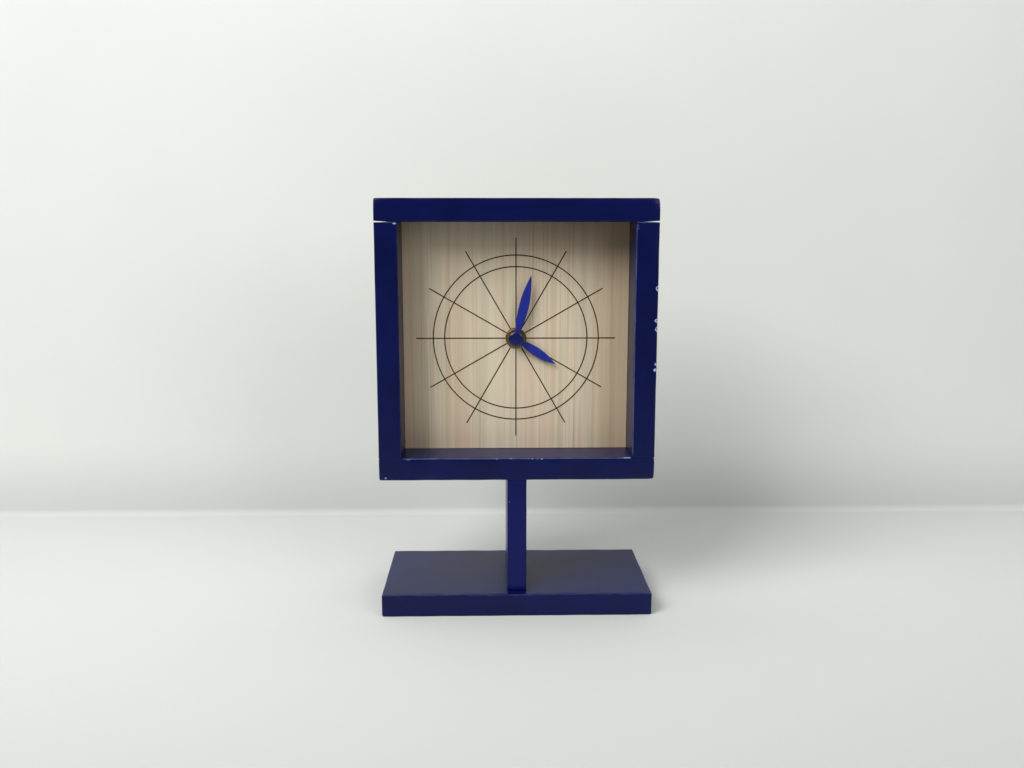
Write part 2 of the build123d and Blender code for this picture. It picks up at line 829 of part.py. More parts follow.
# The plate between the motion work and the train; its posts carry the motor and the circuit board
def train_plate():
    sketch = panel(plate_inset - bay_half, bay_half - plate_inset,
                   chamber_bottom + wheel_room, chamber_top - wheel_room)
    sketch = sketch - Circle(arbor_radius + shaft_fit)
    sketch = sketch - Pos(*setting_place) * Circle(setting_radius + hole_fit)
    for place in train_places:
        sketch = sketch - Pos(*place) * Circle(pivot_radius + pivot_fit)
    for place in stake_places:
        sketch = sketch - Pos(*place) * Circle(stake_radius + fastener_fit)
    solid = slab(sketch, *plate_layer)
    for place in motor_screws:
        solid = solid + disc(place, post_radius, plate_layer[1], stator_layer[0])
        hole_front = core_layer[1] - core_screw_reach - fastener_fit
        solid = solid - disc(place, core_screw_radius + fastener_fit, hole_front, stator_layer[0])
    for place in circuit_places:
        solid = solid + disc(place, post_radius, plate_layer[1], circuit_layer[0])
        solid = solid + disc(place, stake_radius, circuit_layer[0], circuit_layer[1] + layer_gap)
    return solid


def circuit_board():
    sketch = panel(circuit_left, circuit_left + circuit_width, circuit_bottom, circuit_bottom + circuit_height)
    for place in circuit_places:
        sketch = sketch - Pos(*place) * Circle(stake_radius + fastener_fit)
    return slab(sketch, *circuit_layer)


# The tuning-fork crystal lies in its can on the board, beside the chip under its drop of resin
def quartz_crystal():
    middle = (circuit_left + crystal_from_left, circuit_layer[1] + crystal_radius,
              hub_z + circuit_bottom + crystal_from_bottom)
    return Pos(*middle) * Cylinder(crystal_radius, crystal_length)


def timing_chip():
    place = (circuit_left + chip_from_left, circuit_bottom + chip_from_bottom)
    solid = disc(place, chip_radius, circuit_layer[1], circuit_layer[1] + chip_height)
    rim = solid.edges().sort_by(Axis.Y)[-1]
    return fillet(rim, chip_round)


def battery():
    plane = Plane(origin=(cell_left, battery_depth, hub_z + battery_v), x_dir=(0, 1, 0), z_dir=(1, 0, 0))
    nub = extrude(plane * Circle(battery_nub_radius), battery_nub_length)
    body = extrude(plane.offset(battery_nub_length) * Circle(battery_diameter / 2),
                   battery_length - battery_nub_length)
    return nub + fillet(body.edges().filter_by(GeomType.CIRCLE), battery_shoulder)


# A flat contact on the left wall with a pressed dimple against the nub
def positive_contact():
    left = -bay_half + contact_wall_gap
    right = left + contact_thickness
    solid = slab(panel(left, right, bay_bottom + battery_room, chamber_bottom + contact_tail),
                 contact_front, contact_back)
    plane = Plane(origin=(right, battery_depth, hub_z + battery_v), x_dir=(0, 1, 0), z_dir=(1, 0, 0))
    return solid + extrude(plane * Circle(contact_dimple_radius), cell_left - right)


# A bowed leaf on the right wall, with a strip along the divider to the circuit board
def negative_contact():
    right = bay_half - contact_wall_gap
    left = right - contact_thickness
    tip = cell_left + battery_length + battery_float
    solid = slab(panel(left, right, bay_bottom + battery_room, chamber_bottom + contact_tail),
                 contact_front, contact_back)
    low = battery_v - leaf_bow_half
    high = battery_v + leaf_bow_half
    bow = make_face([
        ThreePointArc((left, low), (tip, battery_v), (left, high)),
        Line((left, high), (left, high - 2 * contact_thickness)),
        ThreePointArc((left, high - 2 * contact_thickness), (tip + contact_thickness, battery_v),
                      (left, low + 2 * contact_thickness)),
        Line((left, low + 2 * contact_thickness), (left, low)),
    ])
    solid = solid + slab(bow, contact_front, contact_back)
    strip = panel(circuit_left, left, chamber_bottom, chamber_bottom + contact_thickness)
    return solid + slab(strip, contact_back - strip_width, contact_back)


nodes = {
    "base_board": base_board(),
    "post_board": post_board(),
    "bottom_rail": bottom_rail(),
    "top_rail": rail(opening_top),
    "left_stile": stile(-1, left_joint_gap, left_joint_run),
    "right_stile": stile(1, right_joint_gap, right_joint_run),
    "dial_veneer": slab(dial_outline(), dial_face, backer_face),
    "dial_backer": slab(dial_outline(), backer_face, backer_back),
    "dial_lines": dial_lines(),
    "dial_cleats": dial_cleats(),
    "base_screws": at_each(base_screw_places, wood_screw()),
    "post_screws": at_each(post_screw_places, wood_screw()),
    "corner_brads": at_each(brad_places, Cylinder(brad_radius, brad_length)),
    "dial_gasket": dial_gasket(),
    "dial_washer": dial_washer(),
    "dial_nut": dial_nut(),
    "shaft_bushing": shaft_bushing(),
    "hour_hand": hour_hand(),
    "minute_hand": minute_hand(),
    "cap_nut": cap_nut(),
    "minute_arbor": minute_arbor(),
    "clutch_spring": clutch_spring(),
    "hour_wheel": hour_wheel(),
    "motion_wheel": motion_wheel(),
    "setting_knob": setting_knob(),
    "centre_wheel": centre_wheel(),
    "third_wheel": third_wheel(),
    "seconds_wheel": seconds_wheel(),
    "fifth_wheel": fifth_wheel(),
    "rotor_pinion": rotor_pinion(),
    "rotor_magnet": rotor_magnet(),
    "stator": stator(),
    "coil_core": coil_core(),
    "coil_bobbin": coil_bobbin(),
    "coil_winding": coil_winding(),
    "core_screws": core_screws(),
    "movement_case": movement_case(),
    "movement_cover": movement_cover(),
    "train_plate": train_plate(),
    "circuit_board": circuit_board(),
    "quartz_crystal": quartz_crystal(),
    "timing_chip": timing_chip(),
    "battery": battery(),
    "positive_contact": positive_contact(),
    "negative_contact": negative_contact(),
}

os.makedirs("parts", exist_ok=True)
for name, solid in nodes.items():
    export_step(solid, f"parts/{name}.step")
print(len(nodes), "nodes written")
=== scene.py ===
import math

import bmesh
import bpy
import numpy as np
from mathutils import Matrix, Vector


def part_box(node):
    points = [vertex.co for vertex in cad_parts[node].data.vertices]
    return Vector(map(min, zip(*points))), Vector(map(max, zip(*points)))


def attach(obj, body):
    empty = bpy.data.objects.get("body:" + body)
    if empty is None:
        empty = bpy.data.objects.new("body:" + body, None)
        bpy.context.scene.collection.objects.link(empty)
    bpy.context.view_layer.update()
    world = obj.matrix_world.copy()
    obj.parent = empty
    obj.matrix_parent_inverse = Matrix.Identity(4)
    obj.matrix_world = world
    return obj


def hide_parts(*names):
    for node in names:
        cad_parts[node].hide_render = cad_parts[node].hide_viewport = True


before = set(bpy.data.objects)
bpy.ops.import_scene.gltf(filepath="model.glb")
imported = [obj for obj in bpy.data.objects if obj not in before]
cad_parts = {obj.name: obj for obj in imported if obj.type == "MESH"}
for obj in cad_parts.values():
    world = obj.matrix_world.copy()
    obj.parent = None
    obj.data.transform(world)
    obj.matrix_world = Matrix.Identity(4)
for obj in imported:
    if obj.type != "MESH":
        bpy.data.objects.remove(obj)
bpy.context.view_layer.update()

# A painted box clock on a post: boards, dial, hands and the movement behind.
# Settings are in millimetres and the meshes in metres, so mm is the factor between them
mm = 0.001
tiny = 1e-6              # keeps a division by a sine or cosine finite
crispAngle = 40          # edges that turn by more degrees than this stay sharp
turnSteps = 96           # steps round a turned piece
scene = bpy.context.scene
scene.view_settings.view_transform = "Standard"
print("frame loaded:", len(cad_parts), "nodes")


# The middle of a node's box
def middleOf(node):
    return np.mean(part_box(node), axis=0)


# Places that several pieces share, read from the frame
hub = middleOf("dial_washer")
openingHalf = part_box("right_stile")[0][0]
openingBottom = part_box("bottom_rail")[1][2]
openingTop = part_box("top_rail")[0][2]
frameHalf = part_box("top_rail")[1][0]

# Node settings that come again: a Mix of two colours takes its share at 0 and the colours at 6 and 7
colourMix = {"data_type": "RGBA"}
smoothly = {"interpolation_type": "SMOOTHSTEP"}


# sRGB hex to the linear colour that shaders take
def linear(hexColour):
    values = np.array([int(hexColour[i:i + 2], 16) for i in (1, 3, 5)]) / 255
    bright = ((values + 0.055) / 1.055) ** 2.4
    return (*np.where(values <= 0.04045, values / 12.92, bright).tolist(), 1.0)


# Adds one node and gives back its output. Settings are the node's own values, with a ramp's stops as
# positions and colours, and inputs are numbers, colours or outputs to link from. Of several outputs it
# gives the named one, or else the first in use
def addNode(tree, kind, settings=None, inputs=None, output=None):
    node = tree.nodes.new("ShaderNode" + kind)
    for name, value in (settings or {}).items():
        if name == "stops":
            ramp = node.color_ramp.elements
            while len(ramp) < len(value[0]):
                ramp.new(1.0)
            for stop, position, colour in zip(ramp, *value):
                stop.position = position
                stop.color = linear(colour)
        else:
            setattr(node, name, value)
    for name, value in (inputs or {}).items():
        if isinstance(value, bpy.types.NodeSocket):
            tree.links.new(value, node.inputs[name])
        else:
            node.inputs[name].default_value = value
    return node.outputs[output] if output else next(o for o in node.outputs if o.enabled)


# A new material with its tree, its Principled shader and its Object coordinates
def startMaterial(name):
    material = bpy.data.materials.new(name)
    material.use_nodes = True
    tree = material.node_tree
    place = addNode(tree, "TexCoord", output="Object")
    return material, tree, tree.nodes["Principled BSDF"], place


# Noise fields by name, each with cells of these sizes in millimetres along X, Y and Z
def patternFields(tree, place, cells, detail=3.0):
    fields = {}
    for name, cell in cells.items():
        stretched = addNode(tree, "Mapping", inputs={
            "Vector": place, "Scale": tuple(1 / (size * mm) for size in cell)})
        fields[name] = addNode(tree, "TexNoise", inputs={
            "Vector": stretched, "Scale": 1.0, "Detail": detail}, output="Fac")
    return fields


# How far a place is from a centre, counted in half sizes along X, Y and Z, so that 1 is an ellipsoid's skin
def ellipsoidReach(tree, place, centre, half):
    local = addNode(tree, "Mapping", inputs={
        "Vector": place, "Scale": tuple(1 / (h * mm) for h in half),
        "Location": tuple(-c / h for c, h in zip(centre, half))})
    return addNode(tree, "VectorMath", {"operation": "LENGTH"}, {0: local})


# How far a value is from a middle, to either side
def awayFrom(tree, value, middle):
    offset = addNode(tree, "Math", {"operation": "SUBTRACT"}, {0: value, 1: middle})
    return addNode(tree, "Math", {"operation": "ABSOLUTE"}, {0: offset})


# Gives a shader its colour, a roughness spread between two values by one field, and relief from another
def finishShader(tree, shader, colour, gloss, rough, relief, height, strength):
    spread = addNode(tree, "MapRange", inputs={"Value": gloss, "To Min": rough[0], "To Max": rough[1]})
    bump = addNode(tree, "Bump", inputs={"Strength": strength, "Distance": height * mm, "Height": relief})
    for socket, source in {"Base Color": colour, "Roughness": spread, "Normal": bump}.items():
        tree.links.new(source, shader.inputs[socket])


# Camera at the photograph's place: level across, tilted down at the dial
photoCamera = {"place": (-13.96, -552.95, 215.51), "tiltDown": 9.256, "turn": -1.235, "focal": 34.10,
               "sensor": 36.0, "nearest": 10}


def makeCamera():
    s = photoCamera
    data = bpy.data.cameras.new("photoCamera")
    data.lens = s["focal"]
    data.sensor_width = s["sensor"]
    data.clip_start = s["nearest"] * mm
    camera = bpy.data.objects.new("photoCamera", data)
    camera.location = [v * mm for v in s["place"]]
    camera.rotation_euler = (math.radians(90 - s["tiltDown"]), 0, math.radians(s["turn"]))
    scene.collection.objects.link(camera)
    scene.camera = camera


makeCamera()
print("camera set")


# Points on a grid of rows and columns become quads; columns may close on themselves
def gridMesh(name, points, closeColumns=False):
    rows, columns = points.shape[:2]
    index = np.arange(rows * columns).reshape(rows, columns)
    if closeColumns:
        index = np.hstack([index, index[:, :1]])
    quads = np.stack([index[:-1, :-1], index[:-1, 1:], index[1:, 1:], index[1:, :-1]], axis=-1)
    mesh = bpy.data.meshes.new(name)
    mesh.from_pydata(points.reshape(-1, 3).tolist(), [], quads.reshape(-1, 4).tolist())
    return mesh


# Three coordinates that may each be a row, a column or a grid become points on the grid
def gridPoints(x, y, z):
    return np.stack(np.broadcast_arrays(x, y, z), axis=-1)


# Points of an arc in a profile, from one angle to another in degrees
def arcPoints(centre, radius, start, end, steps=8):
    angle = np.radians(np.linspace(start, end, steps))
    return np.stack([centre[0] + radius * np.cos(angle), centre[1] + radius * np.sin(angle)], axis=1)


# Several meshes become one, doubles merge so that seams and poles close, and faces turn outwards
def joinMeshes(name, meshes, distance=1e-7):
    work = bmesh.new()
    for mesh in meshes:
        work.from_mesh(mesh)
        bpy.data.meshes.remove(mesh)
    bmesh.ops.remove_doubles(work, verts=work.verts, dist=distance)
    bmesh.ops.dissolve_degenerate(work, edges=work.edges, dist=distance)
    bmesh.ops.recalc_face_normals(work, faces=work.faces)
    joined = bpy.data.meshes.new(name)
    work.to_mesh(joined)
    work.free()
    return joined


# Closes the open ends of a section carried along a path
def closeEnds(mesh):
    work = bmesh.new()
    work.from_mesh(mesh)
    bmesh.ops.holes_fill(work, edges=[e for e in work.edges if e.is_boundary], sides=0)
    work.to_mesh(mesh)
    work.free()
    return mesh


# Reads a place of every vertex or face as rows of X, Y and Z
def readRows(items, attribute):
    values = np.empty(len(items) * 3)
    items.foreach_get(attribute, values)
    return values.reshape(-1, 3)


# Puts a finished mesh into the scene; edges sharper than the angle stay crisp
def addPiece(name, mesh, material, crisp=crispAngle):
    mesh.polygons.foreach_set("use_smooth", [True] * len(mesh.polygons))
    mesh.set_sharp_from_angle(angle=math.radians(crisp))
    mesh.materials.append(material)
    piece = bpy.data.objects.new(name, mesh)
    scene.collection.objects.link(piece)
    return piece


# Says which body a piece rides on and hides the node it stands for
def settle(piece, body, node):
    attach(piece, body)
    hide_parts(node)


# Pale floor and backdrop: one sheet bent up a little way behind the clock, and more floor behind it.
# Where the sheet lies flat it takes a darker tone, painted shade. The paper darkens towards the room, as a
# floor does outside the lamps' reach
stageSettings = {
    "wallY": 160, "bend": 5, "bendSteps": 9, "halfWidth": 2500, "height": 2200, "front": -2500,
    "back": 2500, "wall": ("#dfe1dc", "#e1e3de"), "mottle": 90, "toneSpan": (0.3, 0.7), "floor": "#ced0cd",
    "turnUp": 60, "room": "#77797a", "fadeFrom": 0, "fadeTo": -700, "rough": 0.75, "specular": 0.25,
}


# Matte paper: even, with the faintest mottling; from behind it lets the eye through
def paperMaterial():
    s = stageSettings
    material, tree, shader, place = startMaterial("matte_paper")
    mottle = patternFields(tree, place, {"mottle": [s["mottle"]] * 3}, 2.0)["mottle"]
    tone = addNode(tree, "ValToRGB", {"stops": (s["toneSpan"], s["wall"])}, {"Fac": mottle})
    where = addNode(tree, "SeparateXYZ", inputs={"Vector": place}).node.outputs
    lying = addNode(tree, "MapRange", smoothly, {
        "Value": where["Z"], "From Min": s["turnUp"] * mm, "From Max": 0.0})
    # Painted shade: where the sheet lies flat it takes the darker floor tone
    ground = addNode(tree, "Mix", colourMix, {0: lying, 6: tone, 7: linear(s["floor"])})
    fade = addNode(tree, "MapRange", smoothly, {
        "Value": where["Y"], "From Min": s["fadeFrom"] * mm, "From Max": s["fadeTo"] * mm})
    faded = addNode(tree, "Mix", colourMix, {0: fade, 6: ground, 7: linear(s["room"])})
    tree.links.new(faded, shader.inputs["Base Color"])
    shader.inputs["Roughness"].default_value = s["rough"]
    shader.inputs["Specular IOR Level"].default_value = s["specular"]
    behind = addNode(tree, "NewGeometry", output="Backfacing")
    clear = addNode(tree, "BsdfTransparent")
    seen = addNode(tree, "MixShader", inputs={0: behind, 1: shader.outputs["BSDF"], 2: clear})
    tree.links.new(seen, tree.nodes["Material Output"].inputs["Surface"])
    return material


# The sheet's profile is flat, then a quarter circle, then upright, carried across the width
def makeStage():
    s = stageSettings
    foot = s["wallY"] - s["bend"]
    bend = arcPoints((foot, s["bend"]), s["bend"], -90, 0, s["bendSteps"])
    sheet = np.concatenate([[[s["front"], 0.0]], bend, [[s["wallY"], s["height"]]]])
    rear = np.array([[foot, 0.0], [s["back"], 0.0]])
    across = np.array([-s["halfWidth"], s["halfWidth"]])
    paper = paperMaterial()
    for name, profile in {"backdrop": sheet, "rearFloor": rear}.items():
        points = gridPoints(across, profile[:, :1], profile[:, 1:])
        piece = addPiece(name, gridMesh(name, points * mm), paper)


makeStage()


# Soft boxes: a wide one up on the left, a weaker one on the right and a smaller one close overhead
lamps = {
    "keyBox": {"place": (-900, -900, 1250), "size": 900, "watts": 25.6},
    "fillBox": {"place": (1000, -1100, 800), "size": 900, "watts": 6.7},
    "topBox": {"place": (0, -150, 900), "size": 700, "watts": 2.8},
}
lampAim = (0, 0, 140)
roomLight = {"colour": "#e4e6e4", "strength": 0.05}


def makeLights():
    for name, s in lamps.items():
        data = bpy.data.lights.new(name, "AREA")
        data.size = s["size"] * mm
        data.energy = s["watts"]
        lamp = bpy.data.objects.new(name, data)
        lamp.location = [v * mm for v in s["place"]]
        away = np.subtract(s["place"], lampAim)
        lean = math.atan2(math.hypot(away[0], away[1]), away[2])
        lamp.rotation_euler = (lean, 0, math.atan2(away[0], -away[1]))
        scene.collection.objects.link(lamp)
    world = bpy.data.worlds.new("softRoom")
    world.use_nodes = True
    background = world.node_tree.nodes["Background"]
    background.inputs["Color"].default_value = linear(roomLight["colour"])
    background.inputs["Strength"].default_value = roomLight["strength"]
    scene.world = world


makeLights()
print("stage and lights set")


# Satin enamel brushed over wood: deep navy, faint brush lines along the board, paint rubbed thin on the
# arrises and lightened there, which is wear and a painted highlight together, and small chips down to the
# pale undercoat. Pores are drawn as coarse as they need to show
navyPaint = {
    # The rubbed colour is the pale of worn paint and of a painted highlight on the arrises
    "tones": ("#050d3e", "#08134d"), "toneSpan": (0.3, 0.75), "rubbedAndHighlit": "#5c668e", "undercoat": "#a9bbd6",
    "brush": (0.7, 60), "pore": (0.35, 9), "cloud": 28, "patch": 5,
    "brushHeight": 0.02, "bump": 0.6, "ior": 1.3, "rough": (0.26, 0.36),
    "rubbedAndHighlitFrom": 0.12, "rubbedAndHighlitTo": 0.5, "rubbedAndHighlitShare": 0.6, "flake": 1.1, "shake": 1.1,
    "chipEdge": (1.05, 0.9), "hollowRim": 0.8, "rimThin": 5.0, "dentRadius": 1.6, "dentDepth": 0.3,
}


# How far the undercoat shows: each chip is full inside its half sizes, in a space shaken by noise so that
# none is a neat oval, and a hollow chip counts from the middle of its flaked rim
def chipField(tree, place, chips):
    s = navyPaint
    noise = addNode(tree, "TexNoise", inputs={
        "Vector": place, "Scale": 1 / (s["flake"] * mm), "Detail": 2.0}, output="Color")
    offset = addNode(tree, "VectorMath", {"operation": "SUBTRACT"}, {0: noise, 1: (0.5, 0.5, 0.5)})
    shaken = addNode(tree, "VectorMath", {"operation": "MULTIPLY_ADD"}, {
        0: offset, 1: (s["shake"] * mm,) * 3, 2: place})
    bared = 0.0
    for centre, half, hollow, strength in chips:
        far = ellipsoidReach(tree, shaken, centre, half)
        if hollow:
            offRim = awayFrom(tree, far, s["hollowRim"])
            far = addNode(tree, "Math", {"operation": "MULTIPLY"}, {0: offRim, 1: s["rimThin"]})
        chip = addNode(tree, "MapRange", inputs={
            "Value": far, "From Min": s["chipEdge"][0], "From Max": s["chipEdge"][1], "To Max": strength})
        bared = addNode(tree, "Math", {"operation": "MAXIMUM"}, {0: bared, 1: chip})
    return bared


# One board's paint, brushed along the given axis, with that board's own tones, chips and dents over brads
def paintMaterial(name, along, tones, chips, dents):
    s = navyPaint
    material, tree, shader, place = startMaterial(name)
    cells = {"cloud": [s["cloud"]] * 3, "patch": [s["patch"]] * 3}
    for mark in ("brush", "pore"):
        width, length = s[mark]
        cells[mark] = [width] * 3
        cells[mark][along] = length
    fields = patternFields(tree, place, cells)
    tone = addNode(tree, "ValToRGB", {"stops": (s["toneSpan"], tones)}, {"Fac": fields["cloud"]})
    # Rubbed arrises: the mesh says how near the edge is, and noise breaks the line up. The pale colour
    # there is wear and a painted highlight together
    arris = addNode(tree, "Attribute", {"attribute_name": "arris"}, output="Fac")
    broken = addNode(tree, "Math", {"operation": "MULTIPLY"}, {0: arris, 1: fields["patch"]})
    rubbedAndHighlit = addNode(tree, "MapRange", inputs={
        "Value": broken, "From Min": s["rubbedAndHighlitFrom"], "From Max": s["rubbedAndHighlitTo"],
        "To Max": s["rubbedAndHighlitShare"]})
    colour = addNode(tree, "Mix", colourMix, {0: rubbedAndHighlit, 6: tone, 7: linear(s["rubbedAndHighlit"])})
    if chips:
        bared = chipField(tree, place, chips)
        colour = addNode(tree, "Mix", colourMix, {0: bared, 6: colour, 7: linear(s["undercoat"])})
    relief = addNode(tree, "Math", {"operation": "ADD"}, {0: fields["brush"], 1: fields["pore"]})
    for dent in dents:
        away = addNode(tree, "VectorMath", {"operation": "DISTANCE"}, {0: place, 1: dent})
        sunk = addNode(tree, "MapRange", smoothly, {
            "Value": away, "From Max": s["dentRadius"] * mm,
            "To Min": -s["dentDepth"] / s["brushHeight"], "To Max": 0.0})
        relief = addNode(tree, "Math", {"operation": "ADD"}, {0: relief, 1: sunk})
    shader.inputs["IOR"].default_value = s["ior"]
    finishShader(tree, shader, colour, fields["brush"], s["rough"], relief, s["brushHeight"], s["bump"])
    return material


# The six boards. Ease is the arris radius, rub is how worn a board's arrises are and how strong a painted
# highlight they carry, joints are where another board is butted and painted over, and chips are place, half
# sizes, whether only a flaked rim is left, and how much of the undercoat shows. Filled gives the faces that
# brads went into, 0 below and 1 above. Rounded gives rail corners as side, upper or lower, and extra
# radius.
# Sawn gives the wedges left at joints as side, upper or lower face, gap and run, which fade out within a
# few gaps. The post has tones of its own, bluer and brighter than the frame's: painted light
boardSettings = {
    "step": 2.5, "ease": 0.8, "easeSteps": 4, "easeWander": 0.3, "waves": (19, 31, 47), "shortWave": 6,
    "ripple": 0.04, "rippleWave": 4, "outerRubAndHighlight": 0.45, "openingReach": 2.0, "jointFade": 2.5,
    "jointEase": 0.3, "roundReach": 3.0, "sawnReach": 3, "sawnFade": 2, "bradRadius": 0.7,
    "boards": {
        "base_board": {"piece": "baseBoard", "along": 0, "rubAndHighlight": 1.0, "joints": [], "chips": []},
        "post_board": {"piece": "postBoard", "along": 2, "rubAndHighlight": 0.8, "joints": ["low", "high"],
                       # The post's tones are bluer and brighter than the frame's: painted light, as more
                       # light reaches the post
                       "tones": ("#03094b", "#050e59"), "chips": [
            ((-4.1, -31.9, 64.2), (0.35, 0.8, 0.6), False, 0.15)]},
        "bottom_rail": {"piece": "bottomRail", "along": 0, "rubAndHighlight": 1.0, "joints": ["stiles", "post"],
                        "chips": [
            ((-11.0, -31.8, 88.6), (0.7, 1.0, 0.3), False, 0.4),
            ((-3.2, -31.8, 88.8), (0.5, 1.0, 0.3), False, 0.3),
            ((6.8, -31.8, 88.8), (0.4, 1.0, 0.25), False, 0.2),
            ((8.7, -31.8, 88.6), (0.6, 1.0, 0.3), False, 0.3),
            ((11.2, -31.8, 88.6), (0.5, 1.0, 0.2), False, 0.25),
            ((13.7, -31.8, 88.6), (0.7, 1.0, 0.3), False, 0.45),
            ((-60.0, -31.8, 88.4), (1.3, 1.0, 0.45), False, 0.1),
            ((61.0, -31.4, 89.0), (2.4, 1.0, 0.3), False, 0.55),
            ((-72.4, -32.0, 78.1), (0.55, 1.0, 0.45), False, 0.45)]},
        "top_rail": {"piece": "topRail", "along": 0, "rubAndHighlight": 0.3, "joints": ["under"], "chips": []},
        "left_stile": {"piece": "leftStile", "along": 2, "rubAndHighlight": 0.4, "joints": ["low", "high"], "chips": [
            ((-65.0, -31.8, 216.8), (1.1, 1.0, 0.45), False, 0.75),
            ((-69.0, -31.9, 217.3), (3.5, 1.0, 0.25), False, 0.1)]},
        "right_stile": {"piece": "rightStile", "along": 2, "rubAndHighlight": 0.9, "joints": ["low", "high"], "chips": [
            ((76.2, -31.7, 182.2), (1.6, 0.9, 1.5), True, 0.9),
            ((76.3, -31.7, 164.9), (1.9, 0.9, 1.3), True, 0.9),
            ((76.3, -31.7, 160.2), (1.6, 0.9, 1.7), True, 0.9),
            ((76.1, -31.4, 181.9), (0.4, 1.3, 1.0), False, 0.75),
            ((76.1, -30.4, 182.7), (0.4, 0.6, 0.4), False, 0.5),
            ((76.1, -31.4, 164.6), (0.4, 1.2, 0.9), False, 0.75),
            ((76.1, -30.7, 162.6), (0.4, 0.5, 0.6), False, 0.45),
            ((76.1, -31.3, 160.0), (0.4, 1.6, 1.1), False, 0.75),
            ((75.4, -31.7, 141.2), (0.6, 1.0, 0.8), False, 0.8),
            ((75.1, -31.7, 138.0), (0.8, 1.0, 0.9), False, 0.9),
            ((64.6, -31.8, 215.9), (0.35, 1.0, 0.6), False, 0.14),
            ((64.7, -31.8, 214.1), (0.35, 1.0, 0.5), False, 0.14),
            ((69.5, -31.9, 217.3), (6.5, 1.0, 0.3), False, 0.1)]},
    },
    "filled": {"top_rail": [1], "bottom_rail": [0]},
    "rounded": {"top_rail": [(1, 1, 1.0), (-1, 1, 0.4)],
                "bottom_rail": [(1, 1, 0.9), (1, -1, 0.7), (-1, 1, 0.4), (-1, -1, 0.3)]},
    "sawn": {"left_stile": [(-1, 1, 0.3, 7.5)], "right_stile": [(1, 1, 0.25, 6.0)],
             "top_rail": [(-1, -1, 0.5, 7.0), (1, -1, 0.5, 7.0)]},
}


# Stations along one side of a board: close together over the easing, then even steps
def stations(low, high, ease):
    s = boardSettings
    rise = ease * np.linspace(0, 1, s["easeSteps"] + 1)
    middle = np.linspace(low + ease, high - ease, max(2, round((high - low) / (s["step"] * mm))))
    return np.concatenate([low + rise[:-1], middle, high - rise[:-1][::-1]])


# The closed skin of a box: a flat grid on each of its six faces, through the stations of its sides
def boxMesh(name, lines):
    sheets = []
    for fixed in range(3):
        first, second = [axis for axis in range(3) if axis != fixed]
        for end in (0, -1):
            sheet = np.empty((len(lines[first]), len(lines[second]), 3))
            sheet[..., first] = lines[first][:, None]
            sheet[..., second] = lines[second]
            sheet[..., fixed] = lines[fixed][end]
            sheets.append(gridMesh(name, sheet))
    return joinMeshes(name, sheets)


# How far a point is inside a butted joint, from 0 to 1, faded over a few millimetres
def jointShare(points, low, high, joints):
    fade = boardSettings["jointFade"] * mm
    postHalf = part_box("post_board")[1][0]
    out = np.abs(points[:, 0])
    rise = points[:, 2]
    upper = rise > (low[2] + high[2]) / 2
    inside = {"low": (1, low[2] - rise), "high": (1, rise - high[2]), "stiles": (upper, out - openingHalf),
              "under": (~upper, out - openingHalf), "post": (~upper, postHalf - out)}
    share = np.zeros(len(points))
    for joint in joints:
        where, depth = inside[joint]
        share = np.maximum(share, where * (1 + depth / fade))
    return np.clip(share, 0, 1)


# How worn the paint is and how strong the painted highlight on it, from 0 on the faces to the full rub on
# the arrises, most round the opening's front
def wornAndHighlitShare(points, low, high, rubAndHighlight, joint):
    s = boardSettings
    reach = s["openingReach"] * mm
    edge = np.sort(np.minimum(points - low, high - points), axis=1)[:, 1]
    beside = (np.abs(points[:, 0]) < openingHalf + reach) & (points[:, 1] < 0)
    beside &= (points[:, 2] > openingBottom - reach) & (points[:, 2] < openingTop + reach)
    wornAndHighlit = rubAndHighlight * np.where(beside, 1.0, s["outerRubAndHighlight"])
    return wornAndHighlit * np.clip(1 - (edge / (s["ease"] * mm)) ** 2, 0, 1) * (1 - joint)


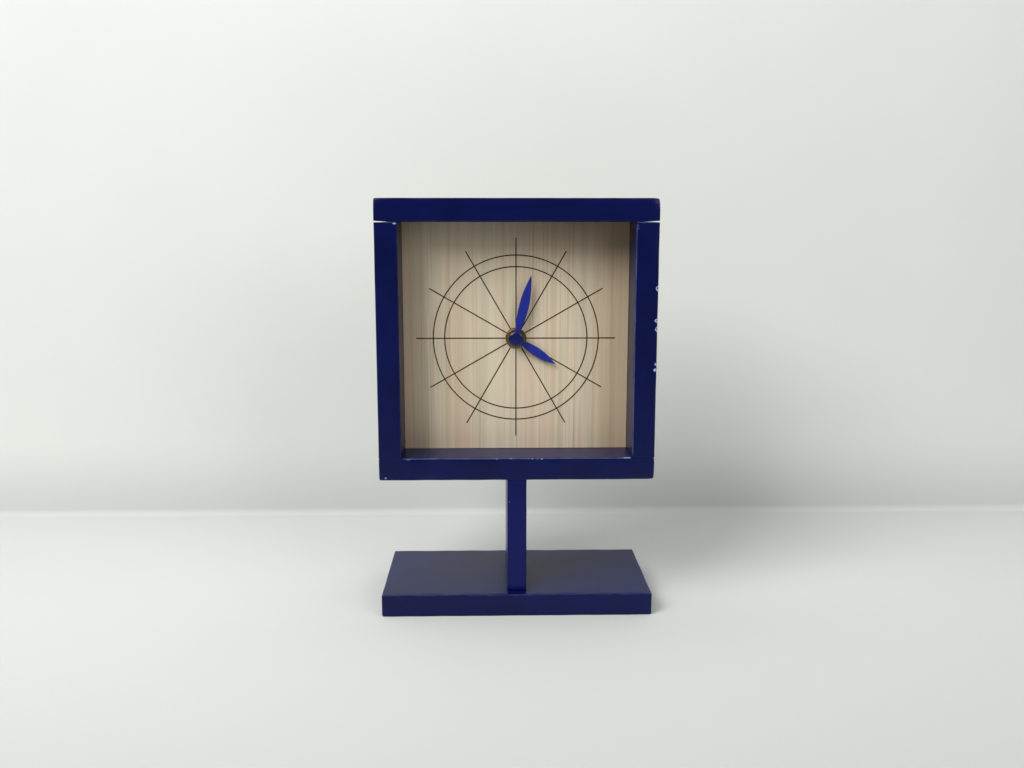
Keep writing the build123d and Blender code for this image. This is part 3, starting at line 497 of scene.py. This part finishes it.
# A board is every point at the easing radius from a smaller inner box. The radius wanders along the edges,
# shrinks at joints and grows at rounded corners. The skin ripples by a few hundredths of a millimetre, as
# hand-sanded wood does, and sinks where a joint was sawn out of true
def boardMesh(node, seed):
    s = boardSettings
    board = s["boards"][node]
    low, high = (np.array(corner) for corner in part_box(node))
    faces = {1: high[2], -1: low[2]}
    ease = s["ease"] * mm
    mesh = boxMesh(board["piece"], [stations(a, b, ease) for a, b in zip(low, high)])
    points = readRows(mesh.vertices, "co")
    phase = np.random.default_rng(seed).uniform(0, 2 * math.pi, 4)
    waves = 2 * math.pi / (np.array(s["waves"]) * mm)
    wander = np.sin(points @ waves + phase[0]) + np.sin(points.sum(1) / (s["shortWave"] * mm) + phase[1])
    radius = ease * (1 + s["easeWander"] * wander / 2)
    joint = jointShare(points, low, high, board["joints"])
    radius = radius + (s["jointEase"] * mm - radius) * joint
    for side, up, extra in s["rounded"].get(node, []):
        corner = np.hypot(points[:, 0] - side * frameHalf, points[:, 2] - faces[up])
        radius = radius + extra * mm * np.exp(-(corner / (s["roundReach"] * mm)) ** 2)
    inner = np.clip(points, low + radius[:, None], high - radius[:, None])
    outward = points - inner
    outward = outward / np.linalg.norm(outward, axis=1, keepdims=True)
    ripple = np.sin(points @ waves[::-1] + phase[2])
    ripple = ripple * np.sin(points[:, 0] / (s["rippleWave"] * mm) + phase[3])
    skin = inner + outward * (radius + s["ripple"] * mm * (ripple - 1) / 2)[:, None]
    for side, up, gap, run in s["sawn"].get(node, []):
        outer = np.clip((side * skin[:, 0] - frameHalf) / (run * mm) + 1, 0, 1)
        deep = up * (faces[up] - skin[:, 2]) / (gap * mm)
        near = np.clip((s["sawnReach"] - deep) / s["sawnFade"], 0, 1)
        skin[:, 2] -= up * gap * mm * outer * near
    mesh.vertices.foreach_set("co", skin.ravel())
    # Wear and painted highlight on the arrises, kept on the mesh for the paint
    wornAndHighlit = wornAndHighlitShare(points, low, high, board["rubAndHighlight"], joint).astype(np.float32)
    mesh.attributes.new("arris", "FLOAT", "POINT").data.foreach_set("value", wornAndHighlit)
    mesh.update()
    return mesh


# Places of the brads set into a rail's upper or lower face
def filledBrads(node):
    s = boardSettings
    low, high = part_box("corner_brads")
    inset = s["bradRadius"] * mm
    sides, depths = ((low[axis] + inset, high[axis] - inset) for axis in (0, 1))
    faces = [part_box(node)[end][2] for end in s["filled"].get(node, [])]
    return [(x, y, face) for face in faces for x in sides for y in depths]


def makeBoards():
    made = {}
    for seed, (node, board) in enumerate(boardSettings["boards"].items()):
        tones = board.get("tones", navyPaint["tones"])
        brads = filledBrads(node)
        paint = paintMaterial("navy_satin_enamel_" + node, board["along"], tones, board["chips"], brads)
        made[node] = addPiece(board["piece"], boardMesh(node, seed), paint)
        settle(made[node], "case", node)
    return made


boards = makeBoards()
print("boards made")


# Clear-coated pale veneer with its grain upright: broad cream, grey-green and pinkish bands, tan streaks
# and hair-thin darker lines in clusters, which together give the straight figure of quartered wood. The
# browning towards the sides is painted shade from the frame's side walls, and the browner patch at the top,
# round the heart, is partly a darker figure in the wood and partly painted shade under the top rail. Cells
# are the sizes of the fields, and spans turn a field between two values into a share between two others
dialVeneer = {
    "bands": ("#c6bca2", "#d8cab0", "#d3c0a6"), "bandStops": (0.34, 0.5, 0.66),
    # The side colour is painted shade by the frame's side walls
    "tan": "#c4a98a", "line": "#7b6049", "side": "#b5946a", "heartAndTopShade": "#7d5d45",
    "cells": {"band": (7.0, 7.0, 260), "streak": (1.7, 1.7, 260), "line": (0.5, 0.5, 130),
              "tuft": (0.25, 0.25, 5.0), "cluster": (11.0, 11.0, 260)},
    "spans": {"streak": (0.5, 0.7, 0.0, 0.5), "line": (0.56, 0.7, 0.0, 0.34),
              "cluster": (0.42, 0.62, 0.25, 1.0)},
    "sideShadeFrom": 40, "sideShadeTo": 66, "sideShadeShare": 0.42, "sideShadeMiddle": -5,
    # The heart is a darker figure in the wood, widened over the top as painted shade under the top rail
    "heartAndTopShadePlace": (42, 0, 224), "heartAndTopShadeHalf": (88, 60, 46), "heartAndTopShadeShare": 0.62,
    "rough": (0.5, 0.62), "tuftHeight": 0.02, "bump": 0.4,
}


def veneerMaterial():
    s = dialVeneer
    material, tree, shader, place = startMaterial("pale_quartered_veneer")
    fields = patternFields(tree, place, s["cells"], 2.0)
    shares = {}
    for name, (start, end, least, most) in s["spans"].items():
        shares[name] = addNode(tree, "MapRange", inputs={
            "Value": fields[name], "From Min": start, "From Max": end, "To Min": least, "To Max": most})
    lined = addNode(tree, "Math", {"operation": "MULTIPLY"}, {0: shares["cluster"], 1: shares["line"]})
    across = addNode(tree, "SeparateXYZ", inputs={"Vector": place}, output="X")
    # Painted shade: browner towards the frame's side walls
    sideShade = addNode(tree, "MapRange", smoothly, {
        "Value": awayFrom(tree, across, s["sideShadeMiddle"] * mm), "From Min": s["sideShadeFrom"] * mm,
        "From Max": s["sideShadeTo"] * mm, "To Max": s["sideShadeShare"]})
    # Darker wood at the top right, and painted shade along the top under the rail
    heartAndTopShaded = addNode(tree, "MapRange", smoothly, {
        "Value": ellipsoidReach(tree, place, s["heartAndTopShadePlace"], s["heartAndTopShadeHalf"]), "From Min": 1.0,
        "From Max": 0.0, "To Max": s["heartAndTopShadeShare"]})
    colour = addNode(tree, "ValToRGB", {"stops": (s["bandStops"], s["bands"])}, {"Fac": fields["band"]})
    for layer, share in {"tan": shares["streak"], "line": lined, "side": sideShade, "heartAndTopShade": heartAndTopShaded}.items():
        colour = addNode(tree, "Mix", colourMix, {0: share, 6: colour, 7: linear(s[layer])})
    tuft = fields["tuft"]
    finishShader(tree, shader, colour, tuft, s["rough"], tuft, s["tuftHeight"], s["bump"])
    return material


# Woods behind the dial. A noise field stretched along the grain is multiplied and cut to its fraction, so
# that its contours become growth lines; pores are dashes over them, drawn as coarse as they need to show
backWoods = {
    # Rotary-cut birch plywood: pale tan with wide wandering growth lines and short brown pores
    "birch_plywood": {
        "node": "dial_backer", "early": "#ceb188", "late": "#b4936b", "pore": "#8d6d49", "rings": 14,
        "figure": (15, 15, 130), "pores": (0.35, 0.35, 7), "poreShare": 0.45, "rough": (0.6, 0.75),
        "strip": 0},
    # Planed pine strips: yellow, with close orange growth lines that run along each strip
    "planed_pine": {
        "node": "dial_cleats", "early": "#dcc092", "late": "#b98a50", "pore": "#a5763f", "rings": 11,
        "figure": (4.5, 4.5, 160), "pores": (0.3, 0.3, 5), "poreShare": 0.3, "rough": (0.55, 0.7),
        "strip": 8},
}
woodFigure = {"ringStops": (0.0, 0.35, 0.88, 1.0), "poreFrom": 0.56, "poreTo": 0.72, "height": 0.03,
              "bump": 0.5}


# The grain runs upright; on strips laid across the top and bottom the place is turned so that it runs along
# them. A ring is early wood for its first third, darkens slowly to late wood and ends sharply
def woodMaterial(name, s):
    f = woodFigure
    material, tree, shader, place = startMaterial(name)
    if s["strip"]:
        low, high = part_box(s["node"])
        where = addNode(tree, "SeparateXYZ", inputs={"Vector": place}).node.outputs
        turned = addNode(tree, "CombineXYZ", inputs={"X": where["Z"], "Y": where["Y"], "Z": where["X"]})
        lying = addNode(tree, "Math", {"operation": "GREATER_THAN"}, {
            0: awayFrom(tree, where["Z"], (low[2] + high[2]) / 2),
            1: (high[2] - low[2]) / 2 - s["strip"] * mm})
        place = addNode(tree, "Mix", {"data_type": "VECTOR"}, {0: lying, 4: place, 5: turned})
    figure = patternFields(tree, place, {"figure": s["figure"]}, 1.0)["figure"]
    pores = patternFields(tree, place, {"pores": s["pores"]}, 2.0)["pores"]
    counted = addNode(tree, "Math", {"operation": "MULTIPLY"}, {0: figure, 1: s["rings"]})
    ring = addNode(tree, "Math", {"operation": "FRACT"}, {0: counted})
    tones = [s[wood] for wood in ("early", "early", "late", "early")]
    tone = addNode(tree, "ValToRGB", {"stops": (f["ringStops"], tones)}, {"Fac": ring})
    dash = addNode(tree, "MapRange", inputs={
        "Value": pores, "From Min": f["poreFrom"], "From Max": f["poreTo"], "To Max": s["poreShare"]})
    colour = addNode(tree, "Mix", colourMix, {0: dash, 6: tone, 7: linear(s["pore"])})
    finishShader(tree, shader, colour, pores, s["rough"], pores, f["height"], f["bump"])
    return material


# Plain finishes for the frame's own pieces: two tones, the size of their grain and the gloss they leave.
# Grain too fine to show, as on the magnet and the mouldings, is drawn as coarse as it needs to show
finishes = {
    # Screen-printed ink: dark brown, a little uneven where the grain drank it
    "printed_brown_ink": {
        "tones": ("#2c1a10", "#3c2518"), "cell": (1.2, 1.2, 4.0), "rough": (0.6, 0.75), "height": 0.01,
        "specular": 0.2, "nodes": ["dial_lines"]},
    # Turned brass gone brown: yellow where handled, dull in the tool marks
    "aged_turned_brass": {
        "tones": ("#75602f", "#b3934f"), "cell": (1.1, 1.1, 1.1), "rough": (0.3, 0.48), "height": 0.01,
        "metal": 1.0, "nodes": ["dial_washer", "dial_nut", "shaft_bushing"]},
    # Zinc plate: cool grey with a faint cloudy bloom
    "zinc_plated_steel": {
        "tones": ("#a5a8aa", "#c6c8c8"), "cell": (1.5, 1.5, 1.5), "rough": (0.28, 0.42), "height": 0.005,
        "metal": 1.0, "nodes": ["corner_brads", "core_screws", "clutch_spring", "coil_core", "stator",
                                "positive_contact", "negative_contact", "quartz_crystal"]},
    # Turned steel: bright, with rings left by the tool
    "turned_steel": {
        "tones": ("#9a9a9e", "#bdbdc0"), "cell": (6.0, 0.15, 6.0), "rough": (0.2, 0.32), "height": 0.004,
        "metal": 1.0, "nodes": ["minute_arbor"]},
    # Nitrile rubber: near black and dusty
    "nitrile_rubber": {
        "tones": ("#141414", "#232322"), "cell": (1.0, 1.0, 1.0), "rough": (0.75, 0.9), "height": 0.02,
        "nodes": ["dial_gasket"]},
    # Moulded acetal: milky white, smooth
    "white_moulded_acetal": {
        "tones": ("#dcdcd4", "#ecece6"), "cell": (5.0, 5.0, 5.0), "rough": (0.35, 0.45), "height": 0.005,
        "nodes": ["hour_wheel", "motion_wheel", "centre_wheel", "third_wheel", "seconds_wheel",
                  "fifth_wheel", "rotor_pinion", "coil_bobbin"]},
    # Sintered magnet: dark grey and grainy
    "sintered_magnet": {
        "tones": ("#2c2c2e", "#414144"), "cell": (0.4, 0.4, 0.4), "rough": (0.45, 0.6), "height": 0.01,
        "metal": 0.6, "nodes": ["rotor_magnet"]},
    # Enamelled copper wire: red-brown, ridged by the turns that lie side by side
    "enamelled_copper_wire": {
        "tones": ("#7c3d1c", "#b5683a"), "cell": (0.2, 6.0, 6.0), "rough": (0.25, 0.4), "height": 0.04,
        "metal": 0.9, "nodes": ["coil_winding"]},
    # Black moulded styrene: dull, with the fine sparked texture of its mould
    "black_moulded_styrene": {
        "tones": ("#17181a", "#222326"), "cell": (0.35, 0.35, 0.35), "rough": (0.36, 0.52), "height": 0.03,
        "nodes": ["movement_case", "movement_cover", "train_plate", "timing_chip"]},
    # Glass-fibre laminate under green lacquer
    "green_circuit_laminate": {
        "tones": ("#17512c", "#216a3b"), "cell": (0.6, 0.6, 0.6), "rough": (0.3, 0.4), "height": 0.01,
        "nodes": ["circuit_board"]},
}
# How plain finishes are mixed; lacquer, enamel and film are evener, with a trace of orange peel
plainMix = {"cloud": 8.0, "grainShare": 0.5, "detail": 4.0, "toneSpan": (0.35, 0.65), "bump": 0.5}
lacquerMix = {"cloud": 6.0, "grainShare": 0.0, "detail": 2.0, "toneSpan": (0.3, 0.7), "bump": 0.35}
coatRough = 0.06


# Two tones follow clouds mixed with a share of the finish's own grain; gloss and relief follow the grain
def finishMaterial(name, s, mix):
    material, tree, shader, place = startMaterial(name)
    fields = patternFields(tree, place, {"grain": s["cell"], "cloud": [mix["cloud"]] * 3}, mix["detail"])
    grain = fields["grain"]
    field = addNode(tree, "Mix", inputs={0: mix["grainShare"], 2: fields["cloud"], 3: grain})
    tone = addNode(tree, "ValToRGB", {"stops": (mix["toneSpan"], s["tones"])}, {"Fac": field})
    finishShader(tree, shader, tone, grain, s["rough"], grain, s["height"], mix["bump"])
    shader.inputs["Metallic"].default_value = s.get("metal", 0.0)
    shader.inputs["Specular IOR Level"].default_value = s.get("specular", 0.5)
    shader.inputs["Coat Weight"].default_value = s.get("coat", 0.0)
    shader.inputs["Coat Roughness"].default_value = coatRough
    return material


# Gives a node of the frame its finish
def dressNode(node, material):
    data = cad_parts[node].data
    data.materials.clear()
    data.materials.append(material)


def dressFrame():
    dressNode("dial_veneer", veneerMaterial())
    for name, s in backWoods.items():
        dressNode(s["node"], woodMaterial(name, s))
    made = {}
    for name, s in finishes.items():
        made[name] = finishMaterial(name, s, plainMix)
        for node in s["nodes"]:
            dressNode(node, made[name])
    return made


materials = dressFrame()
print("frame nodes dressed")


# Even angles round a full turn
def turnAngles(steps):
    return np.linspace(0, 2 * math.pi, steps, endpoint=False)


# A profile of radius and depth turned about an axis: a point at radius r and angle t is r cos t and r sin t
# off the axis, with the radius swollen by a share that may differ for each row and angle. Depth counts
# from a start, along the axis or against it. The axis is Y for hub pieces, X for the cell, Z for screws
def turnedMesh(name, profile, centre, axis=1, start=0.0, way=1, swell=np.ones(turnSteps)):
    profile = np.array(profile, float) * mm
    radius = profile[:, :1] * swell
    steps = radius.shape[1]
    turn = turnAngles(steps)
    first, second = [a for a in range(3) if a != axis]
    points = np.empty((len(profile), steps, 3))
    points[..., first] = centre[first] + radius * np.cos(turn)
    points[..., second] = centre[second] + radius * np.sin(turn)
    points[..., axis] = start + way * profile[:, 1:]
    return gridMesh(name, points, closeColumns=True)


# Leaf hands: pressed sheet, crowned across so that light rolls along the blade
handSettings = {
    "hands": {
        "hourHand": {"node": "hour_hand", "body": "hour", "length": 26.7, "width": 5.0, "angle": 123.2,
                     "seat": 2.5, "eye": 3.3, "collet": 0.3},
        "minuteHand": {"node": "minute_hand", "body": "minute", "length": 36.6, "width": 5.5, "angle": 13.4,
                       "seat": 1.3, "eye": 3.2, "collet": 0.0},
    },
    "rootWidth": 2.1, "rootInset": 0.3, "belly": 0.5, "sheet": 0.5, "crown": 0.16, "round": 0.1,
    "rimPower": 8, "eyeProud": 0.02, "rows": 60, "columns": 17,
    "lacquer": {"tones": ("#0f1e80", "#172890"), "cell": (0.5, 0.5, 0.5), "rough": (0.37, 0.47),
                "height": 0.01},
}


# The circle through a leaf's root corner, belly and tip, solved from its three points
def leafCircle(root, length, halfRoot, halfWidth, belly):
    corners = np.array([[halfRoot, root], [halfWidth, root + (length - root) * belly], [0.0, length]])
    system = np.hstack([2 * corners, np.ones((3, 1))])
    across, along, rest = np.linalg.solve(system, (corners ** 2).sum(1))
    return across, along, math.sqrt(rest + across ** 2 + along ** 2)


# The blade's half width follows that circle; across it the front is a shallow parabola and the back is flat
def leafMesh(name, s, front):
    h = handSettings
    halfRoot = h["rootWidth"] / 2
    middleX, middleZ, radius = leafCircle(s["eye"], s["length"], halfRoot, s["width"] / 2, h["belly"])
    along = np.linspace(s["seat"] + h["rootInset"], s["length"], h["rows"])
    half = middleX + np.sqrt(np.maximum(radius ** 2 - (along - middleZ) ** 2, 0))
    half = np.where(along < s["eye"], halfRoot, np.maximum(half, 0))
    share = np.linspace(-1, 1, h["columns"])
    rim = h["round"] * share ** h["rimPower"]
    depth = np.concatenate([h["crown"] * share ** 2 + rim, h["sheet"] - rim[::-1]])
    along = along[:, None]
    across = half[:, None] * np.concatenate([share, share[::-1]])
    turn = math.radians(s["angle"])
    x = hub[0] + (along * math.sin(turn) + across * math.cos(turn)) * mm
    z = hub[2] + (along * math.cos(turn) - across * math.sin(turn)) * mm
    return closeEnds(gridMesh(name, gridPoints(x, front + depth * mm, z), closeColumns=True))


# The eye is a ring turned about the hub, a hair thicker than the blade, with the hour hand's collet behind
def eyeMesh(name, s, front):
    h = handSettings
    seat, eye, rim, proud = s["seat"], s["eye"], h["round"], h["eyeProud"]
    back = h["sheet"] + s["collet"] + proud
    corners = np.concatenate([
        [[seat, -proud], [eye - rim, -proud]], arcPoints((eye - rim, rim - proud), rim, -90, 0, steps=5),
        arcPoints((eye - rim, back - rim), rim, 0, 90, steps=5), [[seat, back], [seat, -proud]]])
    return turnedMesh(name, corners, hub, start=front)


# Satin blue lacquer: brighter than the frame's paint, with a soft sheen
def makeHands():
    lacquer = finishMaterial("satin_blue_lacquer", handSettings["lacquer"], lacquerMix)
    for name, s in handSettings["hands"].items():
        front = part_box(s["node"])[0][1]
        mesh = joinMeshes(name, [leafMesh(name, s, front), eyeMesh(name, s, front)])
        settle(addPiece(name, mesh, lacquer), s["body"], s["node"])


# The cap that closes the minute arbor, in gloss navy enamel under a clear coat that mirrors the lamps
capSettings = {
    "radius": 4.4, "roll": 1.3, "crown": 0.12, "crownRows": 7, "bore": 1.3, "boreDepth": 1.35, "lip": 0.15,
    "crisp": 50,
    "enamel": {"tones": ("#10174a", "#161e58"), "cell": (0.5, 0.5, 0.5), "rough": (0.2, 0.3),
               "height": 0.006, "coat": 0.8, "specular": 0.15},
}


# A low crown, a rim rolled through a quarter circle, a straight skirt and a blind bore behind
def makeCap():
    s = capSettings
    low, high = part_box("cap_nut")
    tall = (high[1] - low[1]) / mm
    flat = s["radius"] - s["roll"]
    inward = np.linspace(0, flat, s["crownRows"])
    crown = np.stack([inward, s["crown"] * (inward / flat) ** 2], axis=1)
    rim = arcPoints((flat, s["crown"] + s["roll"]), s["roll"], -90, 0, steps=12)
    seat = tall - s["boreDepth"]
    back = [[s["radius"], tall - s["lip"]], [s["radius"] - s["lip"], tall], [s["bore"], tall],
            [s["bore"], seat], [0.0, seat]]
    corners = np.concatenate([crown, rim[1:], back])
    mesh = joinMeshes("capNut", [turnedMesh("capNut", corners, hub, start=low[1])])
    enamel = finishMaterial("gloss_navy_enamel", s["enamel"], lacquerMix)
    settle(addPiece("capNut", mesh, enamel, s["crisp"]), "minute", "cap_nut")


makeHands()
makeCap()
print("hands and cap made")


# The dry cell: steel can in a plain shrink sleeve, rolled over at both shoulders. The sleeve is a smooth
# film with a soft grey sheen, and the bare metal ends reach out to a radius
cellSettings = {
    "nub": 2.7, "nubLength": 1.0, "nubRound": 0.3, "washer": 5.4, "washerRise": 0.35, "washerSlope": 0.2,
    "bead": 0.7, "dish": 0.3, "metalReach": 5.5, "crisp": 35,
    "sleeve": {"tones": ("#3b3f44", "#4a4f55"), "cell": (0.5, 0.5, 0.5), "rough": (0.25, 0.35),
               "height": 0.008},
}


def makeCell():
    s = cellSettings
    low, high = (np.array(corner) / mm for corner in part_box("battery"))
    body = (high[2] - low[2]) / 2
    centre = middleOf("battery")
    left = low[0] + s["nubLength"]
    step = left + s["washerRise"]
    floor = high[0] - s["dish"]
    nub, nubRound, washer, bead = s["nub"], s["nubRound"], s["washer"], s["bead"]
    corners = np.concatenate([
        [[0.0, low[0]], [nub - nubRound, low[0]]],
        arcPoints((nub - nubRound, low[0] + nubRound), nubRound, -90, 0, steps=5),
        [[nub, step], [washer, step], [washer + s["washerSlope"], left]],
        arcPoints((body - bead, left + bead), bead, -90, 0),
        arcPoints((body - bead, high[0] - bead), bead, 0, 90),
        [[washer, high[0]], [washer - s["dish"], floor], [0.0, floor]]])
    mesh = joinMeshes("dryCell", [turnedMesh("dryCell", corners, centre, axis=0)])
    sleeve = finishMaterial("plain_shrink_sleeve", s["sleeve"], lacquerMix)
    piece = addPiece("dryCell", mesh, sleeve, s["crisp"])
    mesh.materials.append(materials["zinc_plated_steel"])
    middles = readRows(mesh.polygons, "center")
    away = np.hypot(middles[:, 1] - centre[1], middles[:, 2] - centre[2]) / mm
    ends = (middles[:, 0] < (left + bead) * mm) | (middles[:, 0] > (high[0] - bead) * mm)
    mesh.polygons.foreach_set("material_index", (ends & (away < s["metalReach"])).astype(np.int32))
    settle(piece, "case", "battery")


# The setting knob: rounded ridges round a short barrel, dished at the back
knobSettings = {"ridges": 24, "depth": 0.067, "waveShape": 0.7, "edge": 0.5, "dish": 0.7, "dishRadius": 3.4,
                "dishSlope": 0.5, "steps": 288, "crisp": 50}


# The radius swells and sinks as a rounded wave round the barrel, and the wave dies out at the rounded rims
def makeKnob():
    s = knobSettings
    low, high = (np.array(corner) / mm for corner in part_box("setting_knob"))
    radius = (high[0] - low[0]) / 2
    edge = s["edge"]
    floor = high[1] - s["dish"]
    corners = np.concatenate([
        [[0.0, low[1]], [radius - edge, low[1]]],
        arcPoints((radius - edge, low[1] + edge), edge, -90, 0, steps=6),
        arcPoints((radius - edge, high[1] - edge), edge, 0, 90, steps=6),
        [[s["dishRadius"] + s["dishSlope"], high[1]], [s["dishRadius"], floor], [0.0, floor]]])
    strength = s["depth"] * np.clip((corners[:, :1] - (radius - edge)) / edge, 0, 1)
    wave = (1 - np.cos(s["ridges"] * turnAngles(s["steps"]))) / 2
    ridges = 1 - strength * wave ** s["waveShape"]
    centre = middleOf("setting_knob")
    mesh = joinMeshes("settingKnob", [turnedMesh("settingKnob", corners, centre, swell=ridges)])
    piece = addPiece("settingKnob", mesh, materials["black_moulded_styrene"], s["crisp"])
    settle(piece, "setting", "setting_knob")


makeCell()
makeKnob()
print("cell and knob made")


# Countersunk wood screws with a cross recess: two up through the base into the post, two down through the
# rail. Ridge is the thread's share of a pitch, and point is the share of the shank left at the tip
screwSettings = {
    "screws": {
        "base_screws": {"piece": "baseScrews", "up": 1, "boards": ["base_board", "post_board"]},
        "post_screws": {"piece": "postScrews", "up": -1, "boards": ["bottom_rail", "post_board"]},
    },
    "head": 3.6, "rim": 0.15, "headDepth": 2.6, "shank": 1.7, "core": 1.15, "pitch": 1.6, "ridge": 0.5,
    "neck": 12.0, "tip": 4.5, "point": 0.08, "crossArm": 2.1, "crossWidth": 0.9, "crossDepth": 1.4,
    "crossWall": 0.85, "crossFloor": 0.5, "fit": 0.05, "mouth": 1.0, "steps": 64, "threadRows": 130,
    "crisp": 30,
}


# Reach of a bar from its middle at each angle: its end or its side, whichever comes first
def barReach(turn, arm, width):
    end = arm / np.maximum(np.abs(np.cos(turn)), tiny)
    return np.minimum(end, width / 2 / np.maximum(np.abs(np.sin(turn)), tiny))


# A cross is two bars at right angles, and reaches as far as the longer one
def crossReach(turn, arm, width):
    return np.maximum(barReach(turn, arm, width), barReach(turn + math.pi / 2, arm, width))


# Recess, head and neck are turned; the thread is a ridge that climbs one pitch each turn and fades to the
# point. The recess has a radius of 1 in the profile, which is swollen to the reach of a cross
def screwMesh(name, centre, flat, up, length):
    s = screwSettings
    turn = turnAngles(s["steps"])
    depth = np.linspace(s["neck"], length, s["threadRows"])
    taper = np.clip((length - depth) / s["tip"], s["point"], 1)
    head = [[0.0, s["crossDepth"]], [1.0, s["crossWall"] * s["crossDepth"]], [1.0, 0.0],
            [s["head"] - s["rim"], 0.0], [s["head"], s["rim"]], [s["shank"], s["headDepth"]]]
    corners = np.concatenate([head, np.stack([s["shank"] * taper, depth], axis=1), [[0.0, length]]])
    swell = np.ones((len(corners), len(turn)))
    cross = crossReach(turn, s["crossArm"], s["crossWidth"])
    swell[1] = cross * s["crossFloor"]
    swell[2] = cross
    climb = (depth[:, None] / s["pitch"] - turn / (2 * math.pi)) % 1
    ridge = np.clip(1 - 2 * np.abs(climb - 0.5) / s["ridge"], 0, 1)
    begun = np.clip((depth - s["neck"]) / s["pitch"], 0, 1)[:, None]
    swell[len(head):-1] = 1 - begun * (1 - s["core"] / s["shank"]) * (1 - ridge)
    return turnedMesh(name, corners, centre, axis=2, start=flat, way=up, swell=swell)


# The hole a screw leaves: its own outline a little larger, open at the head
def holeMesh(name, centre, flat, up, length):
    s = screwSettings
    head, shank, floor = (size + s["fit"] for size in (s["head"], s["shank"], length))
    corners = [[0.0, -s["mouth"]], [head, -s["mouth"]], [head, 0.0],
               [shank, s["headDepth"]], [shank, floor], [0.0, floor]]
    return turnedMesh(name, corners, centre, axis=2, start=flat, way=up, swell=np.ones(s["steps"]))


# Takes a cutter's shape out of a board and keeps the result as the board's own mesh
def cutBoard(board, cutter):
    modifier = board.modifiers.new("screwHoles", "BOOLEAN")
    modifier.operation = "DIFFERENCE"
    modifier.solver = "EXACT"
    modifier.object = cutter
    whole = board.data
    cut = board.evaluated_get(bpy.context.evaluated_depsgraph_get())
    board.data = bpy.data.meshes.new_from_object(cut)
    board.modifiers.remove(modifier)
    board.data.set_sharp_from_angle(angle=math.radians(crispAngle))
    bpy.data.meshes.remove(whole)


def makeScrews():
    s = screwSettings
    zinc = materials["zinc_plated_steel"]
    for node, screw in s["screws"].items():
        name, up = screw["piece"], screw["up"]
        low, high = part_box(node)
        length = (high[2] - low[2]) / mm
        flat = low[2] if up > 0 else high[2]
        reach = s["head"] * mm
        places = [((low[0] + high[0]) / 2, y, 0.0) for y in (low[1] + reach, high[1] - reach)]
        mesh = joinMeshes(name, [screwMesh(name, place, flat, up, length) for place in places])
        settle(addPiece(name, mesh, zinc, s["crisp"]), "case", node)
        holes = joinMeshes("holes", [holeMesh("holes", place, flat, up, length) for place in places])
        cutter = addPiece("screwHoles", holes, zinc)
        for board in screw["boards"]:
            cutBoard(boards[board], cutter)
        bpy.data.objects.remove(cutter)
        bpy.data.meshes.remove(holes)


makeScrews()
print("screws made and their holes cut")


# Moulded marks on the lid: a plus and a minus over the cell's ends and an arrow round the setting knob. The
# arrow's angles are in degrees, and pointShare is how much of its head's half width is left at the very tip
markSettings = {
    "rise": 0.5, "bevel": 0.22, "sunk": 0.2, "arm": 2.3, "width": 1.1, "over": 4.5, "inset": 7.0,
    "arrowGap": 2.2, "arrowHalf": 0.5, "headHalf": 1.3, "arrowFrom": 40, "headFrom": 118, "arrowTo": 142,
    "steps": 192, "tailRows": 24, "headRows": 8, "pointShare": 0.02, "thinnest": 0.01,
}


# A mark is an outline swollen by angle: straight up from the lid, bevelled, then flat to its middle
def signMesh(name, centre, lid, outline):
    s = markSettings
    shoulder = s["rise"] - s["bevel"]
    top = 1 - s["bevel"] / s["arm"]
    corners = [[0.0, -s["sunk"]], [1.0, -s["sunk"]], [1.0, shoulder], [top, s["rise"]], [0.0, s["rise"]]]
    return joinMeshes(name, [turnedMesh(name, corners, centre, start=lid, swell=outline)])


# The arrow is a bevelled section carried round an arc; its half width steps out at the head and then runs
# to a point
def arrowMesh(name, centre, lid, radius):
    s = markSettings
    tail = np.linspace(s["arrowFrom"], s["headFrom"], s["tailRows"])
    head = np.linspace(s["headFrom"], s["arrowTo"], s["headRows"])
    angle = np.radians(np.concatenate([tail, head]))[:, None]
    narrowing = np.linspace(1, s["pointShare"], s["headRows"])
    half = np.concatenate([np.full(s["tailRows"], s["arrowHalf"]), s["headHalf"] * narrowing])
    inner = np.maximum(half - s["bevel"], s["thinnest"])
    away = (radius + np.stack([-half, -half, -inner, inner, half, half], axis=1)) * mm
    climb = [-s["sunk"], s["rise"] - s["bevel"], s["rise"]]
    depth = np.array(climb + climb[::-1]) * mm
    points = gridPoints(centre[0] + away * np.cos(angle), lid + depth, centre[2] + away * np.sin(angle))
    return joinMeshes(name, [closeEnds(gridMesh(name, points, closeColumns=True))])


def makeMarks():
    s = markSettings
    lidLow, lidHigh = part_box("movement_cover")
    cellLow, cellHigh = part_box("battery")
    knob = middleOf("setting_knob")
    knobRadius = (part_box("setting_knob")[1][0] - knob[0]) / mm
    lid = lidHigh[1]
    row = lidLow[2] + s["over"] * mm
    inset = s["inset"] * mm
    turn = turnAngles(s["steps"])
    plus = crossReach(turn, s["arm"], s["width"])
    minus = barReach(turn, s["arm"], s["width"])
    signs = [
        signMesh("plusMark", (cellLow[0] + inset, 0.0, row), lid, plus),
        signMesh("minusMark", (cellHigh[0] - inset, 0.0, row), lid, minus),
        arrowMesh("settingArrow", knob, lid, knobRadius + s["arrowGap"]),
    ]
    for mesh in signs:
        piece = addPiece(mesh.name, mesh, materials["black_moulded_styrene"])
        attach(piece, "case")


makeMarks()
print("lid marks made")
